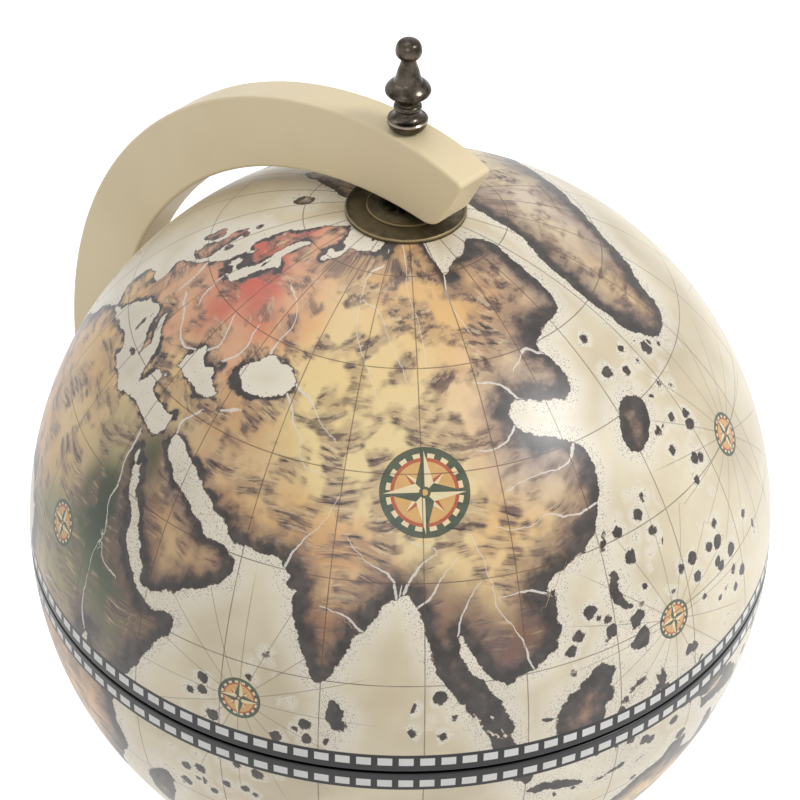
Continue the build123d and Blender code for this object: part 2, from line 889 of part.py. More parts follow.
with BuildPart() as spindle:
    with BuildSketch(south_section):
        with BuildLine():
            Polyline(
                (0, spindle_tip),
                (spindle_thread_radius, spindle_tip),
                (spindle_thread_radius, end_washer_seat),
                (spindle_radius, end_washer_seat),
                (spindle_radius, thrust_washer_bottom),
                (spindle_flange_radius, thrust_washer_bottom),
                (spindle_flange_radius, spindle_seat),
                (spindle_thread_radius, spindle_seat),
                (spindle_thread_radius, spindle_seat + spindle_thread_length),
                (0, spindle_seat + spindle_thread_length),
                close=True,
            )
        make_face()
    revolve(axis=Axis.Z)
spindle.part.label = "spindle"

with BuildPart() as thrust_washer:
    with BuildSketch(south_level(thrust_washer_top)):
        Circle(thrust_washer_radius)
        Circle(spindle_radius, mode=Mode.SUBTRACT)
    extrude(amount=thrust_washer_thickness)
thrust_washer.part.label = "thrust_washer"

with BuildPart() as south_bush:
    with BuildSketch(south_level(ring_nut_face)):
        Circle(south_bush_radius)
    extrude(amount=boss_top - ring_nut_face)
    with BuildSketch(south_level(boss_top)):
        Circle(south_bush_flange_radius)
    extrude(amount=south_bush_flange_thickness)
    with BuildSketch(south_level(ring_nut_face - 1)):
        Circle(spindle_radius + running_fit)
    extrude(amount=globe_radius, mode=Mode.SUBTRACT)
south_bush.part.label = "south_bush"

with BuildPart() as inner_hub:
    with BuildSketch(south_section):
        add(inner_seat(south_bush_radius, hub_radius, hub_face))
    revolve(axis=Axis.Z)
inner_hub.part.label = "inner_hub"

with BuildPart() as ring_nut:
    with BuildSketch(south_level(ring_nut_face)):
        RegularPolygon(ring_nut_flats / 2, 6, major_radius=False)
        Circle(south_bush_radius, mode=Mode.SUBTRACT)
    extrude(amount=ring_nut_thickness)
ring_nut.part.label = "ring_nut"

with BuildPart() as end_washer:
    with BuildSketch(south_level(end_nut_seat)):
        Circle(end_washer_radius)
        Circle(spindle_thread_radius, mode=Mode.SUBTRACT)
    extrude(amount=end_washer_thickness)
end_washer.part.label = "end_washer"

with BuildPart() as end_nut:
    with BuildSketch(south_level(end_nut_face)):
        RegularPolygon(end_nut_flats / 2, 6, major_radius=False)
        Circle(spindle_thread_radius, mode=Mode.SUBTRACT)
    extrude(amount=end_nut_thickness)
end_nut.part.label = "end_nut"

# ---------------------------------------------------------------- bar in the lower half

tray_radius = on_sphere(shell_inner_radius, tray_depth + tray_thickness) - board_clearance
shelf_radius = on_sphere(shell_inner_radius, shelf_depth + shelf_thickness) - board_clearance

with BuildPart() as rim_collar:
    with BuildSketch(south_section):
        Circle(shell_inner_radius - glue_line)
        with Locations((collar_inner_radius, seam_gap / 2)):
            Rectangle(
                globe_radius - collar_inner_radius,
                tray_depth - seam_gap / 2,
                align=bottom_left,
                mode=Mode.INTERSECT,
            )
        with Locations((collar_inner_radius, -collar_lip_height)):
            lip_wall = shell_inner_radius - collar_lip_clearance - collar_inner_radius
            Rectangle(lip_wall, collar_lip_height + seam_gap / 2, align=bottom_left)
    revolve(axis=Axis.Z)
    fillet(rim_collar.edges().group_by(Axis.Z)[-1], collar_edge_round)
rim_collar.part.label = "rim_collar"

with BuildPart() as bar_tray:
    with BuildSketch(south_level(tray_depth)):
        Circle(tray_radius)
        Circle(bottle_hole_radius, mode=Mode.SUBTRACT)
        with PolarLocations(glass_circle_radius, glass_count):
            Circle(glass_hole_radius, mode=Mode.SUBTRACT)
    extrude(amount=tray_thickness)
    holes = bar_tray.edges().filter_by(GeomType.CIRCLE).group_by(Axis.Z)[-1].sort_by(SortBy.RADIUS)
    fillet(holes[:-1], hole_round)
bar_tray.part.label = "bar_tray"

with BuildPart() as glass_shelf:
    with BuildSketch(south_level(shelf_depth)):
        Circle(shelf_radius)
        Circle(bottle_hole_radius, mode=Mode.SUBTRACT)
    extrude(amount=shelf_thickness)
    holes = glass_shelf.edges().filter_by(GeomType.CIRCLE).group_by(Axis.Z)[-1]
    fillet(holes.sort_by(SortBy.RADIUS)[0], hole_round)
glass_shelf.part.label = "glass_shelf"


def cleat(depth, board_radius):
    """One of the blocks, glued to the inside of the shell, that a board rests on."""
    with BuildPart() as block:
        with BuildSketch(south_section):
            Circle(shell_inner_radius)
            with Locations((board_radius - cleat_width, depth)):
                Rectangle(2 * cleat_width, cleat_height, align=bottom_left, mode=Mode.INTERSECT)
        revolve(axis=Axis.Z, revolution_arc=cleat_arc)
    return block.part


with BuildPart() as tray_cleats:
    with PolarLocations(0, cleat_count, start_angle=45 - cleat_arc / 2):
        add(cleat(tray_depth + tray_thickness, tray_radius))
tray_cleats.part.label = "tray_cleats"

with BuildPart() as shelf_cleats:
    with PolarLocations(0, cleat_count, start_angle=45 - cleat_arc / 2):
        add(cleat(shelf_depth + shelf_thickness, shelf_radius))
shelf_cleats.part.label = "shelf_cleats"

with BuildPart() as bottle_rest:
    with BuildSketch(south_section):
        Circle(shell_inner_radius)
        with Locations((0, rest_depth)):
            Rectangle(globe_radius, rest_thickness, align=bottom_left, mode=Mode.INTERSECT)
    revolve(axis=Axis.Z)
bottle_rest.part.label = "bottle_rest"

# ---------------------------------------------------------------- files

pieces = (
    base_felt,
    base_plate,
    pedestal,
    pedestal_washer,
    pedestal_bolt,
    arm_insert,
    lower_arm,
    hinge_leaf_lower,
    hinge_screws_lower,
    hinge_pin,
    spindle,
    thrust_washer,
    end_washer,
    end_nut,
    upper_arm,
    hinge_leaf_upper,
    hinge_screws_upper,
    arm_bush,
    upper_hemisphere,
    pole_disc,
    pole_boss,
    toothed_washer,
    pole_nut,
    pole_rod,
    inner_boss,
    cap_nut,
    finial_bell,
    finial_urn,
    lower_hemisphere,
    rim_collar,
    south_disc,
    south_boss,
    south_bush,
    inner_hub,
    ring_nut,
    bar_tray,
    glass_shelf,
    tray_cleats,
    shelf_cleats,
    bottle_rest,
)

os.makedirs("parts", exist_ok=True)
for piece in pieces:
    export_step(piece.part, f"parts/{piece.part.label}.step")
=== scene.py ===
"""Tabletop globe bar: printed map, finishes, studio and camera.

Metres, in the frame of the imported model. The globe's axis is +Z and the arm stands on the +Y side.
Printed details and the grain of finishes are sized in millimetres.
"""

import math

import bmesh
import bpy
import numpy as np
from bpy.props import FloatProperty, FloatVectorProperty, IntProperty, PointerProperty
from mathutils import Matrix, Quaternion, Vector, noise


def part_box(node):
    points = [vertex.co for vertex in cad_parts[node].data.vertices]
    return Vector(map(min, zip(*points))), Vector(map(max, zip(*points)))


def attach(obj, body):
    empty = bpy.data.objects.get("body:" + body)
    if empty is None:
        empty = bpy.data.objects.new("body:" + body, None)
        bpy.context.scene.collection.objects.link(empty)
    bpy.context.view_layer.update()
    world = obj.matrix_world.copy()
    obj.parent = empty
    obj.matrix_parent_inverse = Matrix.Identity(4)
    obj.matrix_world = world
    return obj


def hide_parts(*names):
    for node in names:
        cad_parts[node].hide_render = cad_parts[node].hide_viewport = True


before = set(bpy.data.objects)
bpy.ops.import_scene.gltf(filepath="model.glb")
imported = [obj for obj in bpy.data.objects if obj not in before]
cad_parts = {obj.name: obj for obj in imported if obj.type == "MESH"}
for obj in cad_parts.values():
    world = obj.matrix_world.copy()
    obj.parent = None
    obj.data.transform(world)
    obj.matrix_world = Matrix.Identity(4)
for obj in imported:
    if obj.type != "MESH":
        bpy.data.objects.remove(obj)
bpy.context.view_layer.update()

bl_info = {
    "name": "Tabletop Globe Bar",
    "version": (1, 0, 0),
    "blender": (4, 5, 0),
    "location": "View3D > Sidebar > Globe Bar",
    "description": "Dresses a tabletop globe bar with its printed map, painted arm and metal fittings",
    "category": "Add Mesh",
}

MM = 0.001


def linear(red, green, blue):
    """Linear colour of a paint given by its screen values, 0 to 255."""
    parts = [c / 255 for c in (red, green, blue)]
    return tuple(c / 12.92 if c <= 0.04045 else ((c + 0.055) / 1.055) ** 2.4 for c in parts)


def opaque(colour):
    """A colour with full alpha, as a node's socket wants it."""
    return (*colour[:3], 1.0)


def toned(colour, factor):
    """A colour made darker or lighter by a factor."""
    return [c * factor for c in colour]


# ---------------------------------------------------------------- sizes taken from the frame

lower_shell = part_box("lower_hemisphere")
upper_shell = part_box("upper_hemisphere")
equator_z = (lower_shell[1].z + upper_shell[0].z) / 2
seam_gap = upper_shell[0].z - lower_shell[1].z
globe_radius = upper_shell[1].x
north_bore, south_bore = (
    min(v.co.xy.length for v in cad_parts[node].data.vertices)
    for node in ("upper_hemisphere", "lower_hemisphere")
)


# ---------------------------------------------------------------- settings


def length_setting(name, description, metres):
    """A length that a user may change."""
    return FloatProperty(name=name, description=description, default=metres, unit="LENGTH")


def angle_setting(name, description, degrees):
    """An angle that a user may change, its default given in degrees."""
    return FloatProperty(name=name, description=description, default=math.radians(degrees), subtype="ANGLE")


def colour_setting(name, description, *screen):
    """A colour that a user may change, its default given by screen values."""
    colour = linear(*screen)
    return FloatVectorProperty(name=name, description=description, default=colour, subtype="COLOR", size=3)


class GlobeBarMap(bpy.types.PropertyGroup):
    """Sizes and inks of the printed map."""

    shell_wall: length_setting("Shell wall", "Thickness of the globe's shell", 0.004)
    rim_round: length_setting("Rim round", "Rounding of the shell's rim", 0.0006)
    turn: angle_setting("Turn", "Longitude that is printed over the globe's +X side", 224.0)
    grid_step: angle_setting("Grid step", "Angle between two lines of longitude or latitude", 15)
    paper: colour_setting("Paper", "Colour of the seas", 199, 185, 157)
    char: colour_setting("Char", "Scorched edge of the coasts", 48, 45, 44)
    line: colour_setting("Line", "Ink of the grid and of the compass lines", 84, 62, 48)
    band_dark: colour_setting("Band", "Dark ground of the equator's band", 15, 14, 14)
    band_light: colour_setting("Band blocks", "Blocks on the equator's band", 224, 222, 218)
    band_blocks: IntProperty(name="Blocks", description="Blocks round the equator", default=120, min=12)


class GlobeBarFinishes(bpy.types.PropertyGroup):
    """Colours of the paint, wood, paper and metals."""

    cream: colour_setting("Cream paint", "Paint of arm and stand", 232, 214, 174)
    bronze: colour_setting("Bronze", "Aged bronze of the pole plates", 95, 83, 59)
    pewter: colour_setting("Finial", "Dark metal of the finial", 98, 90, 80)
    mahogany: colour_setting("Bar wood", "Stained wood of the bar", 118, 66, 38)
    lining: colour_setting("Lining", "Paper inside the shells", 206, 182, 140)


class GlobeBarStage(bpy.types.PropertyGroup):
    """Floor and camera."""

    floor_size: length_setting("Floor", "Side of the floor", 24.0)
    camera_azimuth: angle_setting("Azimuth", "Camera's direction round the globe", -48.0)
    camera_elevation: angle_setting("Elevation", "Camera's height as an angle", 39.995)
    camera_distance: length_setting("Distance", "From the globe's centre to the camera", 1.32)
    camera_pan: angle_setting("Pan", "Turn of the camera to the left", 0.0451)
    camera_tilt: angle_setting("Tilt", "Turn of the camera upwards", 2.161)
    camera_roll: angle_setting("Roll", "Roll of the camera", 1.069)
    camera_lens: FloatProperty(name="Lens", description="Focal length in millimetres", default=132.25)


# ---------------------------------------------------------------- node trees


class Finish:
    """Node tree of a material or a world, with short ways to add and join its nodes."""

    def __init__(self, name, library="materials"):
        self.owner = getattr(bpy.data, library).new(name)
        self.owner.use_nodes = True
        self.tree = self.owner.node_tree
        self.tree.nodes.clear()

    def put(self, socket, value):
        """Joins a socket to another, or sets it to a constant."""
        if isinstance(value, bpy.types.NodeSocket):
            self.tree.links.new(value, socket)
        else:
            socket.default_value = value

    def add(self, kind, inputs=None, **settings):
        """A node of this kind, with its settings and inputs."""
        node = self.tree.nodes.new("ShaderNode" + kind)
        for key, value in settings.items():
            setattr(node, key, value)
        for socket, value in (inputs or {}).items():
            self.put(node.inputs[socket], value)
        return node

    def millimetres(self, centre=(0, 0, 0)):
        """Place on the object in millimetres, measured from a centre given in metres."""
        place = self.add("TexCoord").outputs["Object"]
        start, scale = [-c / MM for c in centre], [1 / MM] * 3
        return self.add("Mapping", {"Vector": place, "Location": start, "Scale": scale}).outputs[0]

    def math(self, operation, *values):
        """Result of a Math node."""
        return self.add("Math", dict(enumerate(values)), operation=operation).outputs[0]

    def times(self, first, second):
        """Product of two values."""
        return self.math("MULTIPLY", first, second)

    def plus(self, first, second):
        """Sum of two values."""
        return self.math("ADD", first, second)

    def less(self, first, second):
        """First value less the second."""
        return self.math("SUBTRACT", first, second)

    def step(self, value, low, high):
        """0 below low, 1 above high and smooth between; low may be above high."""
        inputs = {"Value": value, "From Min": low, "From Max": high}
        return self.add("MapRange", inputs, interpolation_type="SMOOTHSTEP").outputs[0]

    def scale_to(self, value, low, high):
        """A value of 0 to 1 spread from low to high."""
        return self.add("MapRange", {"Value": value, "To Min": low, "To Max": high}).outputs[0]

    def mix(self, factor, first, second, blend="MIX"):
        """Two colours mixed."""
        node = self.add("Mix", {0: factor}, data_type="RGBA", blend_type=blend)
        for socket, colour in ((node.inputs[6], first), (node.inputs[7], second)):
            self.put(socket, colour if isinstance(colour, bpy.types.NodeSocket) else opaque(colour))
        return node.outputs[2]

    def over(self, ground, colour, mask, strength, blend="MIX"):
        """A colour laid over a ground through a mask, this strongly."""
        return self.mix(self.times(mask, strength), ground, colour, blend)

    def noise(self, place, size, detail=2.0, roughness=0.5, distortion=0.0):
        """Cloud noise with features of about this size, 0 to 1 about 0.5."""
        inputs = {"Vector": place, "Scale": 1 / size, "Detail": detail}
        inputs |= {"Roughness": roughness, "Distortion": distortion}
        return self.add("TexNoise", inputs).outputs[0]

    def wander(self, place, size, reach, detail=3.0):
        """Cloud noise spread about zero, from about -reach to reach."""
        return self.scale_to(self.noise(place, size, detail, 0.6), -2 * reach, 2 * reach)

    def cells(self, place, size):
        """Distance to the nearest of scattered points, and two random values for that point."""
        node = self.add("TexVoronoi", {"Vector": place, "Scale": 1 / size})
        chance = self.add("SeparateColor", {0: node.outputs["Color"]}).outputs
        return self.times(node.outputs["Distance"], size), chance[0], chance[1]

    def split(self, vector):
        """The three parts of a vector."""
        return self.add("SeparateXYZ", {0: vector}).outputs

    def join(self, x, y=0.0, z=0.0):
        """A vector from its parts."""
        return self.add("CombineXYZ", {0: x, 1: y, 2: z}).outputs[0]

    def length(self, x, y):
        """Length of a flat vector."""
        return self.add("VectorMath", {0: self.join(x, y)}, operation="LENGTH").outputs["Value"]

    def attribute(self, name, output="Fac"):
        """A named attribute of the mesh's points."""
        return self.add("Attribute", attribute_name=name).outputs[output]

    def bump(self, height, depth, strength):
        """A normal from a height of 0 to 1 that stands for this depth in metres."""
        return self.add("Bump", {"Height": height, "Distance": depth, "Strength": strength}).outputs[0]

    def surface(self, **sockets):
        """Ends the tree in a Principled shader, with its sockets named in words joined by _."""
        shader = self.add("BsdfPrincipled")
        for name, value in sockets.items():
            socket = shader.inputs[name.replace("_", " ")]
            is_plain_colour = socket.type == "RGBA" and not isinstance(value, bpy.types.NodeSocket)
            self.put(socket, opaque(value) if is_plain_colour else value)
        self.add("OutputMaterial", {"Surface": shader.outputs[0]})
        return self.owner


def dress(material, *nodes):
    """Gives CAD nodes this material."""
    for name in nodes:
        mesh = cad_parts[name].data
        mesh.materials.clear()
        mesh.materials.append(material)


# ---------------------------------------------------------------- geography, degrees east and north

OLD_WORLD = (
    (-9, 37), (-9.5, 38.7), (-9, 43), (-2, 43.5), (-1.2, 46), (-4.6, 48.4), (-1.6, 49.6), (1.5, 50.5),
    (4, 52), (8, 54), (8.3, 57), (10.5, 57.6), (10, 55), (12, 54.3), (14, 54), (18.5, 54.7), (21, 56),
    (22, 58.5), (29, 59.8), (25, 60.2), (21.5, 61), (21.8, 63.3), (25.2, 65.2), (22, 65.7), (18, 63),
    (17, 61), (18.6, 59.8), (16.4, 57), (14.3, 55.5), (12.8, 56), (11.2, 59), (8, 58), (5.3, 59), (5.2, 62),
    (10, 64), (14, 67.5), (19, 70), (25.7, 71.1), (31, 70.2), (41, 67.5), (40.3, 66.3), (33.5, 66.7),
    (38, 64), (40, 64.7), (44, 66), (44, 68.3), (54, 68.3), (60, 69), (68, 68.7), (67, 72), (72.5, 72.8),
    (73, 67.5), (75, 72), (81, 73.5), (87, 75), (96, 76), (101, 73), (105, 68), (107.5, 64.6), (112, 65.8),
    (118, 67), (127, 67.4), (137, 68.6), (146, 68.8), (147.6, 65), (145, 60), (142.4, 55.6), (137, 53.4),
    (129, 53.6), (124.6, 52), (127.6, 50), (128, 46.6), (126, 44.2), (119.6, 44.8), (114, 46.8), (110, 46),
    (111, 42.8), (116, 40.4), (122, 39.2), (124.4, 36.6), (123.8, 32.6), (121.4, 28.4), (118.4, 24.2),
    (113.5, 22.8), (110.8, 21.6), (109.4, 19.8), (110.6, 16.6), (110.4, 12.6), (108, 10), (104, 8.4),
    (101.4, 7.4), (99.4, 10), (97.2, 13), (95, 16), (95.2, 13), (97, 10.2), (99.6, 7), (102, 3.6),
    (103.4, 0.6), (100.4, 0.8), (96.6, 3.6), (93.8, 7.4), (91.6, 11.4), (90.4, 15), (89.8, 18),
    (88.6, 20.4), (87.6, 22), (86.6, 21.8), (84.6, 21), (83.6, 19.4), (81, 17), (79, 15), (77.8, 12.4),
    (76.6, 10.2), (75, 8.6), (73.6, 8), (73, 9.8), (71.2, 14), (70, 17), (69.4, 20), (70.4, 21.6),
    (68.6, 20.8), (67.4, 22), (68.6, 22.9), (67.5, 23.9), (66.6, 25.2), (61.6, 25.2), (57.2, 25.7),
    (56, 27.8), (51.8, 29.2), (47, 31.8), (42, 34.6), (38.4, 35.2), (37.6, 33), (40.4, 30.6), (45, 28.6),
    (49.6, 26.4), (52.4, 24.4), (54.8, 24.8), (56.7, 24.2), (59.8, 22.5), (57.7, 19), (55.3, 17.5),
    (52.2, 15.7), (45.2, 12.8), (43.4, 12.7), (42.8, 15.8), (39.1, 21.3), (35.2, 28), (34.9, 29.4),
    (34.2, 27.8), (32.6, 29.9), (34.2, 32.6), (35.4, 34.4), (36, 36.6), (32.5, 36.1), (30.5, 36.5),
    (27.3, 36.8), (26.5, 39.3), (29, 41), (26, 40.7), (22.8, 40.4), (23.9, 38), (22.8, 36.6), (21.3, 37.6),
    (19.4, 41), (19.2, 42.3), (15, 44.5), (13.6, 45.6), (12.4, 45), (13.6, 43.5), (16, 41.8), (18.4, 40),
    (16.8, 40.5), (16.3, 38), (15.5, 40), (12.3, 41.7), (10.3, 43.5), (8.9, 44.3), (6.5, 43.2), (3.2, 43),
    (3.2, 41.9), (0.2, 40), (-0.5, 38), (-2.2, 36.8), (-5.4, 36.1),
)

AFRICA = (
    (-5.9, 35.8), (-1.5, 35.2), (3, 36.9), (10, 37.2), (11, 34.6), (15, 33.6), (19, 32.6), (20.5, 34.2),
    (24, 34.4), (29, 33.4), (34.2, 32.6), (32.6, 29.9), (33.5, 27.8), (35.5, 24), (37.2, 21), (37.3, 18.8),
    (39.6, 15.3), (43.2, 11.7), (44.5, 10.4), (51.2, 11.8), (50.8, 9.5), (47.7, 4.3), (42.5, -0.7),
    (39.6, -4.3), (39.4, -8), (40.6, -11), (40.5, -15), (35.5, -20), (35.5, -24), (32.8, -26), (32.2, -29),
    (28, -33), (22, -34.2), (18.4, -34.2), (17, -29.5), (14.5, -22.5), (11.8, -17.5), (13.7, -11),
    (12.2, -6), (9, -1), (9.5, 3.8), (6, 4.3), (4, 6.4), (-2, 4.8), (-7.6, 4.4), (-11.5, 6.9), (-13.3, 9.3),
    (-16.8, 13), (-17.4, 14.8), (-16.3, 19.5), (-17, 21.5), (-14.5, 26), (-11, 28.7), (-9.7, 31.4),
    (-6.5, 34.2),
)

NORTH_AMERICA = (
    (-192, 65), (-183, 69.5), (-170, 71), (-156.5, 71.3), (-141, 69.6), (-128, 70), (-115, 68.2),
    (-108, 67.8), (-96, 68.2), (-94, 71.9), (-90, 69), (-81.5, 69.5), (-82, 67), (-87, 65), (-94, 61),
    (-93, 58.7), (-85, 55.3), (-82.2, 52.8), (-80, 51.3), (-79, 54.5), (-77, 57.5), (-78, 62.4), (-70, 61),
    (-67.5, 58.3), (-64.5, 60.3), (-60, 55.5), (-55.7, 52.3), (-60, 50.2), (-66.5, 50.2), (-70, 47),
    (-65, 48.6), (-64.5, 46.3), (-60, 46), (-65.5, 43.6), (-67, 44.8), (-70.5, 43.2), (-70, 41.6),
    (-74, 40.6), (-76, 37), (-75.6, 35.2), (-79, 33.3), (-81.4, 31), (-80.1, 26), (-81, 25.2), (-82.8, 28),
    (-84.2, 30), (-89.3, 29.2), (-94.5, 29.4), (-97.4, 27), (-97.7, 22.5), (-95.8, 18.7), (-91.5, 18.5),
    (-90.3, 21), (-87, 21.4), (-88, 16), (-83.2, 15), (-83.6, 11), (-81.5, 9), (-77.3, 8.7), (-78, 7.3),
    (-80.4, 7.4), (-83, 8.4), (-85.8, 10), (-87.6, 13), (-92.2, 14.5), (-94.5, 16.2), (-99.8, 16.7),
    (-105.5, 20.3), (-105.3, 22.5), (-109.3, 26), (-112.8, 31.2), (-114.7, 31.7), (-112.7, 28),
    (-109.5, 23.2), (-112.2, 24.8), (-115, 28), (-117.2, 32.6), (-120.6, 34.6), (-122.5, 37.5),
    (-124.3, 40.3), (-124, 46), (-124.6, 48.4), (-130, 51), (-140, 53), (-156, 53.4), (-172, 51.8),
    (-184.5, 48), (-189.6, 43.8), (-193.5, 41.8), (-199, 41.4), (-205, 44.2), (-207.6, 48.6),
    (-207.8, 53.8), (-204.6, 59), (-198, 62.6),
)

SOUTH_AMERICA = (
    (-77.4, 8.6), (-75.5, 10.6), (-71.8, 12.3), (-71.5, 10.8), (-68, 10.7), (-62, 10.6), (-57.5, 6.2),
    (-51.8, 4.5), (-50, 0.5), (-44.5, -2.5), (-39.8, -2.9), (-35.2, -5.5), (-34.9, -8.5), (-38.9, -13),
    (-39, -17.5), (-41, -22), (-45, -23.6), (-48.7, -26), (-50, -29.8), (-53.7, -34.4), (-58.4, -34),
    (-56.8, -36.5), (-62.2, -39), (-65, -41), (-63.8, -42.5), (-67.5, -46), (-65.9, -48), (-69, -51.8),
    (-65.3, -54.8), (-68.5, -55.5), (-74.5, -52), (-75.5, -47), (-73.7, -42), (-73.5, -37), (-71.5, -31),
    (-70.3, -24), (-70.3, -18.4), (-76, -14), (-79.8, -7.3), (-81.3, -5), (-80, -2.8), (-80.2, 0.5),
    (-77.5, 4), (-77.9, 7),
)

AUSTRALIA = (
    (113.7, -22.5), (114.2, -26.5), (115.8, -32), (118, -35), (123.5, -33.9), (131, -31.5), (135.5, -34.8),
    (138.3, -33.2), (138.5, -35.6), (143.5, -38.8), (147, -38.2), (150, -37.2), (151.5, -33),
    (153.5, -28.3), (152.8, -25), (149, -21), (146, -18.8), (145.3, -15), (142.6, -10.8), (141.6, -13.5),
    (140.8, -17.5), (137, -15.8), (135.6, -15), (136.8, -12.2), (132.7, -11.4), (129.7, -14.9),
    (126.8, -14), (122.2, -18), (118.8, -20.2),
)

# the ring of the far south, which closes round the pole
FAR_SOUTH = (
    (-180, -78), (-150, -77), (-120, -74), (-100, -73), (-75, -73), (-68, -68), (-58, -63.3), (-61, -70),
    (-60, -75), (-40, -78), (-20, -73.5), (0, -70), (30, -69.5), (55, -66.5), (80, -68), (110, -66.3),
    (140, -67), (165, -71), (162, -77.5), (180, -78),
)

ISLANDS = (
    ((49.3, -12.1), (50.4, -15.8), (47.2, -25), (44.3, -25), (43.4, -22), (44.4, -16.3)),
    ((76.6, 5.6), (78.4, 4.4), (78.8, 2), (77.2, 1.4), (76, 3.2)),
    ((-5.5, 50.1), (1, 50.9), (1.6, 52.7), (-1.5, 55), (-2, 57.6), (-5, 58.5), (-6, 56.5), (-3, 54.5),
     (-4.5, 53), (-5.2, 51.9), (-3, 51.4)),
    ((-6.2, 52.2), (-9.8, 51.6), (-10, 54), (-8, 55.2), (-5.8, 54.6)),
    ((-22.5, 64), (-18.5, 63.4), (-13.7, 64.8), (-16, 66.4), (-22, 66.3), (-24, 65)),
    ((51.5, 71.5), (57.5, 70.7), (57, 73), (68.5, 76.7), (60, 76.3), (54, 73.5)),
    ((11, 79.5), (14, 77.2), (17, 76.6), (22, 78.3), (27, 80.1), (18, 80)),
    ((8.4, 39), (9.6, 39.2), (9.5, 41), (9.3, 43), (8.6, 42), (8.3, 40.6)),
    ((12.5, 38), (15.2, 38.2), (15.1, 36.8), (13, 37.4)),
    ((137.4, 40.8), (141, 39.6), (142.2, 37.4), (140.2, 34.2), (136, 32.6), (132.4, 33.4), (133, 37.4)),
    ((120.2, 23), (120.9, 22.2), (121.8, 25), (121.2, 25.2)),
    ((108.8, 18.8), (110.2, 18.6), (110.9, 20), (109, 19.9)),
    ((120.2, 16), (120.7, 14), (124, 12.8), (122, 14.5), (122.3, 18.4), (120.7, 18.5)),
    ((122, 11.7), (123, 9.3), (125, 10.3), (125.2, 12.4)),
    ((122, 7), (124.2, 6.3), (125.7, 6.2), (126.4, 8), (125.3, 9.6), (123.6, 8.4)),
    ((117.3, 8.5), (119.4, 11.2), (118.6, 9.3)),
    ((109.2, 1.7), (109, 0.3), (110.2, -2.7), (114.5, -3.6), (116.3, -3.3), (117.6, 1), (118.8, 1.2),
     (117.8, 3.5), (119.1, 5.2), (116.8, 6.9), (114, 4.5), (111.2, 2.5)),
    ((95.3, 5.6), (97.6, 5.2), (100.4, 2.3), (103.5, -0.8), (106, -3), (105.8, -5.8), (104, -5.2),
     (101, -2.4), (98.8, 1.5), (96, 4)),
    ((105.2, -6.7), (106.8, -6), (110.8, -6.4), (114.4, -7.8), (114.4, -8.7), (110, -8.1), (106.5, -7.4)),
    ((119.5, -5.4), (120.4, -5.5), (120.3, -3), (122.5, -5.3), (123, -4), (121.4, -1.9), (123.3, -0.9),
     (120.8, -1), (120.3, 0.4), (124.8, 1), (124.8, 1.6), (120.1, 1.2), (119.3, -1.5)),
    ((123.8, -10.3), (127, -8.4), (125, -8.9)),
    ((116, -8.9), (119, -8.3), (122.8, -8.2), (119, -9)),
    ((127.7, -0.8), (128.8, 0.8), (128, 2), (127.3, 0.5)),
    ((131, -0.8), (134, -0.8), (137.8, -1.5), (141, -2.6), (147.8, -6), (150.8, -10.3), (147, -9.5),
     (143.5, -8.5), (141, -9.1), (138, -8.3), (137.8, -5.2), (133, -4), (132.2, -2.9)),
    ((144.8, -41), (148.2, -41), (147, -43.5), (145.7, -43)),
    ((172.8, -34.6), (175.5, -36.8), (178.4, -37.8), (175.3, -41.5), (173.8, -39.3), (174.5, -37)),
    ((172.8, -40.6), (174.2, -41.5), (171, -44.8), (168.5, -46.6), (166.6, -45.8), (171, -42.5)),
    ((-62, 66.5), (-66, 62), (-72, 64), (-78, 64.5), (-73, 67.5), (-80, 70), (-90, 73.5), (-80, 73.7),
     (-68, 70)),
    ((-117, 69.5), (-105, 69), (-105, 73), (-118, 72.5)),
    ((-125, 71.8), (-120, 72), (-117, 75), (-124, 74.3)),
    ((-90, 76.5), (-78, 76.4), (-75, 79), (-62, 82.5), (-75, 83.1), (-92, 81)),
    ((-59.3, 47.7), (-53, 46.7), (-53.5, 49), (-55.8, 51.5), (-58, 49.5)),
    ((-44, 60), (-48, 61), (-53.5, 67), (-54, 70), (-60, 76), (-72, 78.3), (-62, 81.5), (-35, 83.5),
     (-20, 81.5), (-19, 76), (-22, 71), (-32, 68.2), (-40, 65)),
    ((-84.8, 22), (-82, 23.1), (-77, 21.7), (-74.3, 20.1), (-77.6, 19.9), (-78, 20.8), (-82, 22.4)),
    ((-74.3, 18.4), (-71.5, 17.8), (-68.5, 18.3), (-70, 19.8), (-73.3, 19.9)),
)

INLAND_SEAS = (
    ((28.2, 41.5), (28.5, 43.8), (30.8, 46.5), (33, 46), (33.5, 44.5), (36.5, 45.3), (39, 47), (37.5, 44.8),
     (41.3, 42.5), (41.5, 41.4), (36.3, 41.3), (32, 41.8)),
    ((43.4, 46.2), (45.4, 48.6), (49.6, 50.4), (55.6, 50.2), (60, 48.8), (58.4, 46.4), (53.4, 44.8),
     (48.2, 44.6)),
    ((-92, 46.8), (-88, 48.7), (-84.6, 46.7), (-88, 46.6)),
    ((-87.7, 42), (-85, 45.8), (-80.5, 45.7), (-82.4, 43), (-84.5, 45), (-86.4, 43)),
    ((-83, 41.6), (-79, 42.8), (-76.5, 43.6), (-79.5, 43.4)),
    ((32, -2), (34, 0.3), (32, 0.4)),
)

